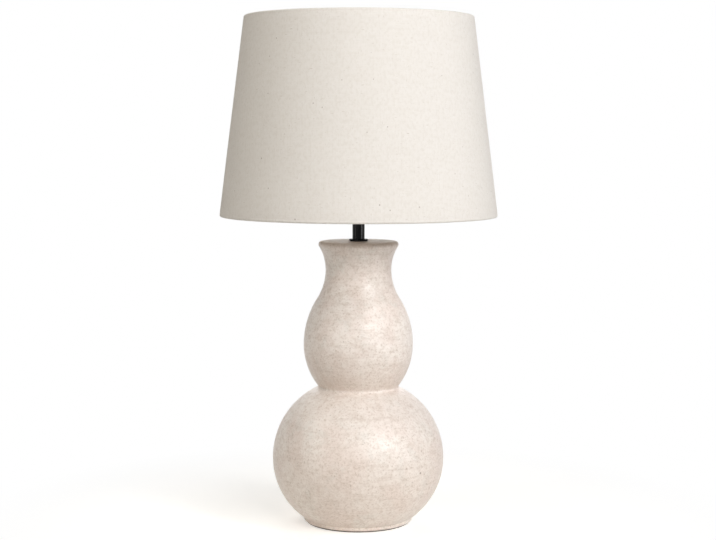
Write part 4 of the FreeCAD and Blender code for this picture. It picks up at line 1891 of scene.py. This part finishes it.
    def settle_cloth(self, mesh: BMesh) -> None:
        """Lifts the lapped end over the first one and eases the cloth round the wires.

        Args:
            mesh: the wrapped sheet, with its runs and turns.
        """
        run, turn = mesh.verts.layers.float["run"], mesh.verts.layers.float["turn"]
        wall = math.dist(self.bottom_wire, self.top_wire)
        mesh.normal_update()
        moves = []
        for vert in mesh.verts:
            lifted = smooth_step(vert[turn], math.tau - self.climb, math.tau - self.climb_done * self.climb)
            on_wall = smooth_step(min(vert[run], wall - vert[run]), 0.0, self.puckered)
            lift = (self.cloth + self.lap_gap) * lifted
            slack = self.slack * on_wall * self.ripple(vert[turn], vert[run], self.slack_waves)
            pucker = self.pucker * (1.0 - on_wall) * self.ripple(vert[turn], vert[run], self.pucker_waves)
            moves.append((vert, vert.normal * (lift + slack + pucker)))
        for vert, move in moves:
            vert.co += move

    @staticmethod
    def ripple(turn: float, run: float, waves: Point) -> float:
        """A smooth random value on the cloth, which meets itself after a full turn.

        Args:
            turn: how far round the cloth.
            run: how far up it, in metres.
            waves: how close the waves are, round it and up it.

        Returns:
            A value from about -1 to 1.
        """
        return wobble(waves[0] * math.cos(turn), waves[0] * math.sin(turn), run * waves[1])

    def build(self) -> bpy.types.Object:
        """Returns:
            The cloth.
        """
        mesh = self.wrapped()
        outer = max(mesh.faces, key=lambda face: face.calc_center_median().x)
        if outer.normal.x < 0.0:
            bmesh.ops.reverse_faces(mesh, faces=mesh.faces[:])
        self.lay_flat(mesh)
        self.settle_cloth(mesh)
        piece = dress(make_piece(mesh, "linen_cover", 70.0), self.linen)
        skin = piece.modifiers.new("thickness", "SOLIDIFY")
        skin.thickness = self.cloth
        skin.offset = -1.0
        fit(piece, Body.SHADE, "linen", "shade_cover")
        return piece


# The studio


@dataclass
class Studio:
    """A white floor and surroundings, soft lamps, and the camera of the photograph."""

    sky: Colour = (1.0, 0.965, 0.9)
    sky_level: float = 0.07
    plain_white: Colour = (1.0, 1.0, 1.0)
    paper: Colour = ink(238, 236, 231)
    dusk: Colour = ink(150, 149, 147)
    darker: Step = Step(0.3, 0.75)
    whiter: Step = Step(0.15, 0.52)
    glow: float = 0.42
    floor_radius: float = 6.0
    floor_drop: float = 0.2 * MM
    floor_skin: float = 2.0 * MM
    warm: Colour = (1.0, 0.96, 0.89)
    cool: Colour = (0.985, 0.988, 1.0)
    warm_from: float = -10.0
    aim: float = 330.0 * MM
    sensor: float = 36.0
    picture_width: float = 716.0
    picture_reach: float = 1573.0
    camera_at: Triple = (-0.6 * MM, -1985.5 * MM, 496.5 * MM)
    camera_down: float = 5.03
    camera_lean: float = 0.12
    camera_sees: Point = (0.05, 50.0)

    def surroundings(self) -> None:
        """Puts up a dim sky for the light, that a viewer and the gloss see as plain white."""
        world = bpy.data.worlds.new("surroundings")
        world.use_nodes = True
        world.node_tree.nodes.clear()
        mix = Nodes(world.node_tree)
        light = mix.node("Background")
        mix.feed(light.inputs["Color"], self.sky)
        mix.feed(light.inputs["Strength"], self.sky_level)
        white = mix.node("Background")
        mix.feed(white.inputs["Color"], self.plain_white)
        both = mix.merge(mix.seen(), light, white)
        mix.feed(mix.node("OutputWorld").inputs["Surface"], both.outputs[0])
        bpy.context.scene.world = world

    def floor(self) -> None:
        """Lays a pale floor that keeps the lamp's shadow and fades into the white around it."""
        mesh = bmesh.new()
        bmesh.ops.create_circle(
            mesh,
            cap_ends=True,
            segments=96,
            radius=self.floor_radius,
            matrix=Matrix.Translation((0.0, 0.0, -self.floor_drop)),
        )
        piece = make_piece(mesh, "floor")
        mix = Recipe("pale_floor", 0.9, Specular_IOR_Level=0.0)
        away, _ = mix.from_axis(mix.place())
        seen = mix.seen()
        paper = mix.blend(mix.ramp(away, self.darker), self.paper, self.dusk)
        mix.feed(mix.shader.inputs["Base Color"], paper)
        glow = mix.node("Emission")
        mix.feed(glow.inputs["Strength"], mix.sum("MULTIPLY", seen, self.glow))
        lit = mix.node("AddShader")
        mix.feed(lit.inputs[0], mix.shader.outputs[0])
        mix.feed(lit.inputs[1], glow.outputs[0])
        fade = mix.sum("MULTIPLY", mix.ramp(away, self.whiter), seen)
        both = mix.merge(fade, lit, mix.node("Emission"))
        near = mix.sum("LESS_THAN", mix.node("LightPath").outputs["Ray Length"], self.floor_skin)
        under = mix.sum("MAXIMUM", mix.node("NewGeometry").outputs["Backfacing"], near)
        clear = mix.merge(under, both, mix.node("BsdfTransparent"))
        out = next(n for n in mix.tree.nodes if n.type == "OUTPUT_MATERIAL")
        mix.feed(out.inputs["Surface"], clear.outputs[0])
        dress(piece, mix.material)
        piece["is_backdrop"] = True

    def lamp(self, name: str, round_by: float, up_by: float, away: float, size: Point, share: float) -> None:
        """Hangs a soft box that looks at the middle of the lamp.

        Args:
            name: the lamp's name.
            round_by: degrees to the right of the camera.
            up_by: degrees above the middle.
            away: distance.
            size: width and height.
            share: how much of its own colour a white card facing it would show.
        """
        data = bpy.data.lights.new(name, "AREA")
        data.shape = "RECTANGLE"
        data.size, data.size_y = size
        data.energy = share * math.pi**2 * away**2
        data.color = self.warm if round_by < self.warm_from else self.cool
        out = Vector((sin(round_by) * cos(up_by), -cos(round_by) * cos(up_by), sin(up_by)))
        item = bpy.data.objects.new(name, data)
        item.location = Vector((0.0, 0.0, self.aim)) + out * away
        item.rotation_euler = (-out).to_track_quat("-Z", "Y").to_euler()
        bpy.context.scene.collection.objects.link(item)

    def camera(self) -> None:
        """Sets up the photograph's camera: a long lens a little above the body's lip."""
        data = bpy.data.cameras.new("camera")
        data.sensor_width = self.sensor
        data.lens = self.sensor * self.picture_reach / self.picture_width
        data.clip_start, data.clip_end = self.camera_sees
        item = bpy.data.objects.new("camera", data)
        tilt = Matrix.Rotation(math.radians(90.0 - self.camera_down), 4, "X")
        lean = Matrix.Rotation(math.radians(self.camera_lean), 4, "Z")
        item.matrix_world = Matrix.Translation(self.camera_at) @ tilt @ lean
        bpy.context.scene.collection.objects.link(item)
        bpy.context.scene.camera = item

    def build(self) -> None:
        """Sets the whole studio up."""
        self.surroundings()
        self.floor()
        self.lamp("key_light", 31.0, 22.0, 2.6, (2.0, 0.62), 0.57)
        self.lamp("high_light", 51.0, 36.0, 2.6, (0.5, 0.5), 0.17)
        self.lamp("left_light", -60.0, 18.0, 2.5, (0.6, 0.8), 0.1)
        self.lamp("high_left_light", -70.0, 51.0, 2.5, (0.9, 0.9), 0.16)
        self.lamp("front_light", -22.0, 4.0, 2.6, (1.4, 0.4), 0.09)
        self.lamp("right_strip", 64.0, -2.35, 2.6, (0.7, 0.1), 0.085)
        self.lamp("left_strip", -62.0, -2.35, 2.6, (0.35, 0.1), 0.025)
        self.lamp("side_light", 88.0, 20.0, 2.4, (0.6, 1.4), 0.05)
        self.lamp("back_light", 180.0, 24.0, 2.6, (1.6, 1.4), 0.42)
        self.lamp("top_light", 0.0, 80.0, 2.4, (1.0, 1.0), 0.08)
        self.lamp("under_light", 0.0, -89.0, 2.0, (1.0, 1.0), 0.4)
        self.camera()
        bpy.context.scene.view_settings.view_transform = "Standard"


def main() -> list[list[float]]:
    """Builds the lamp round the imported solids.

    Returns:
        The solids' box, its lowest and highest corner.
    """
    logging.basicConfig(level=logging.INFO, format="%(name)s: %(message)s")
    for stray in list(bpy.data.objects):
        bpy.data.objects.remove(stray)
    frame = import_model()
    solids = [list(corner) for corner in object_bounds()]
    finish = finishes(CLOTH_MAP)
    for node in frame["nodes"].values():
        for item in node.material_slots:
            item.material = finish[item.material.name.split(".")[0]]
    GourdBody(finish["stoneware"], finish["bare_clay"]).build()
    FeltPad(finish["felt"]).build()
    StemRose(finish["black_metal"]).build()
    Lampholder(finish["black_plastic"]).build()
    WeldBeads(finish["white_wire"]).build()
    LinenCover(finish["linen"], CLOTH_MAP).build()
    Studio().build()
    return solids


if __name__ == "__main__":
    main()
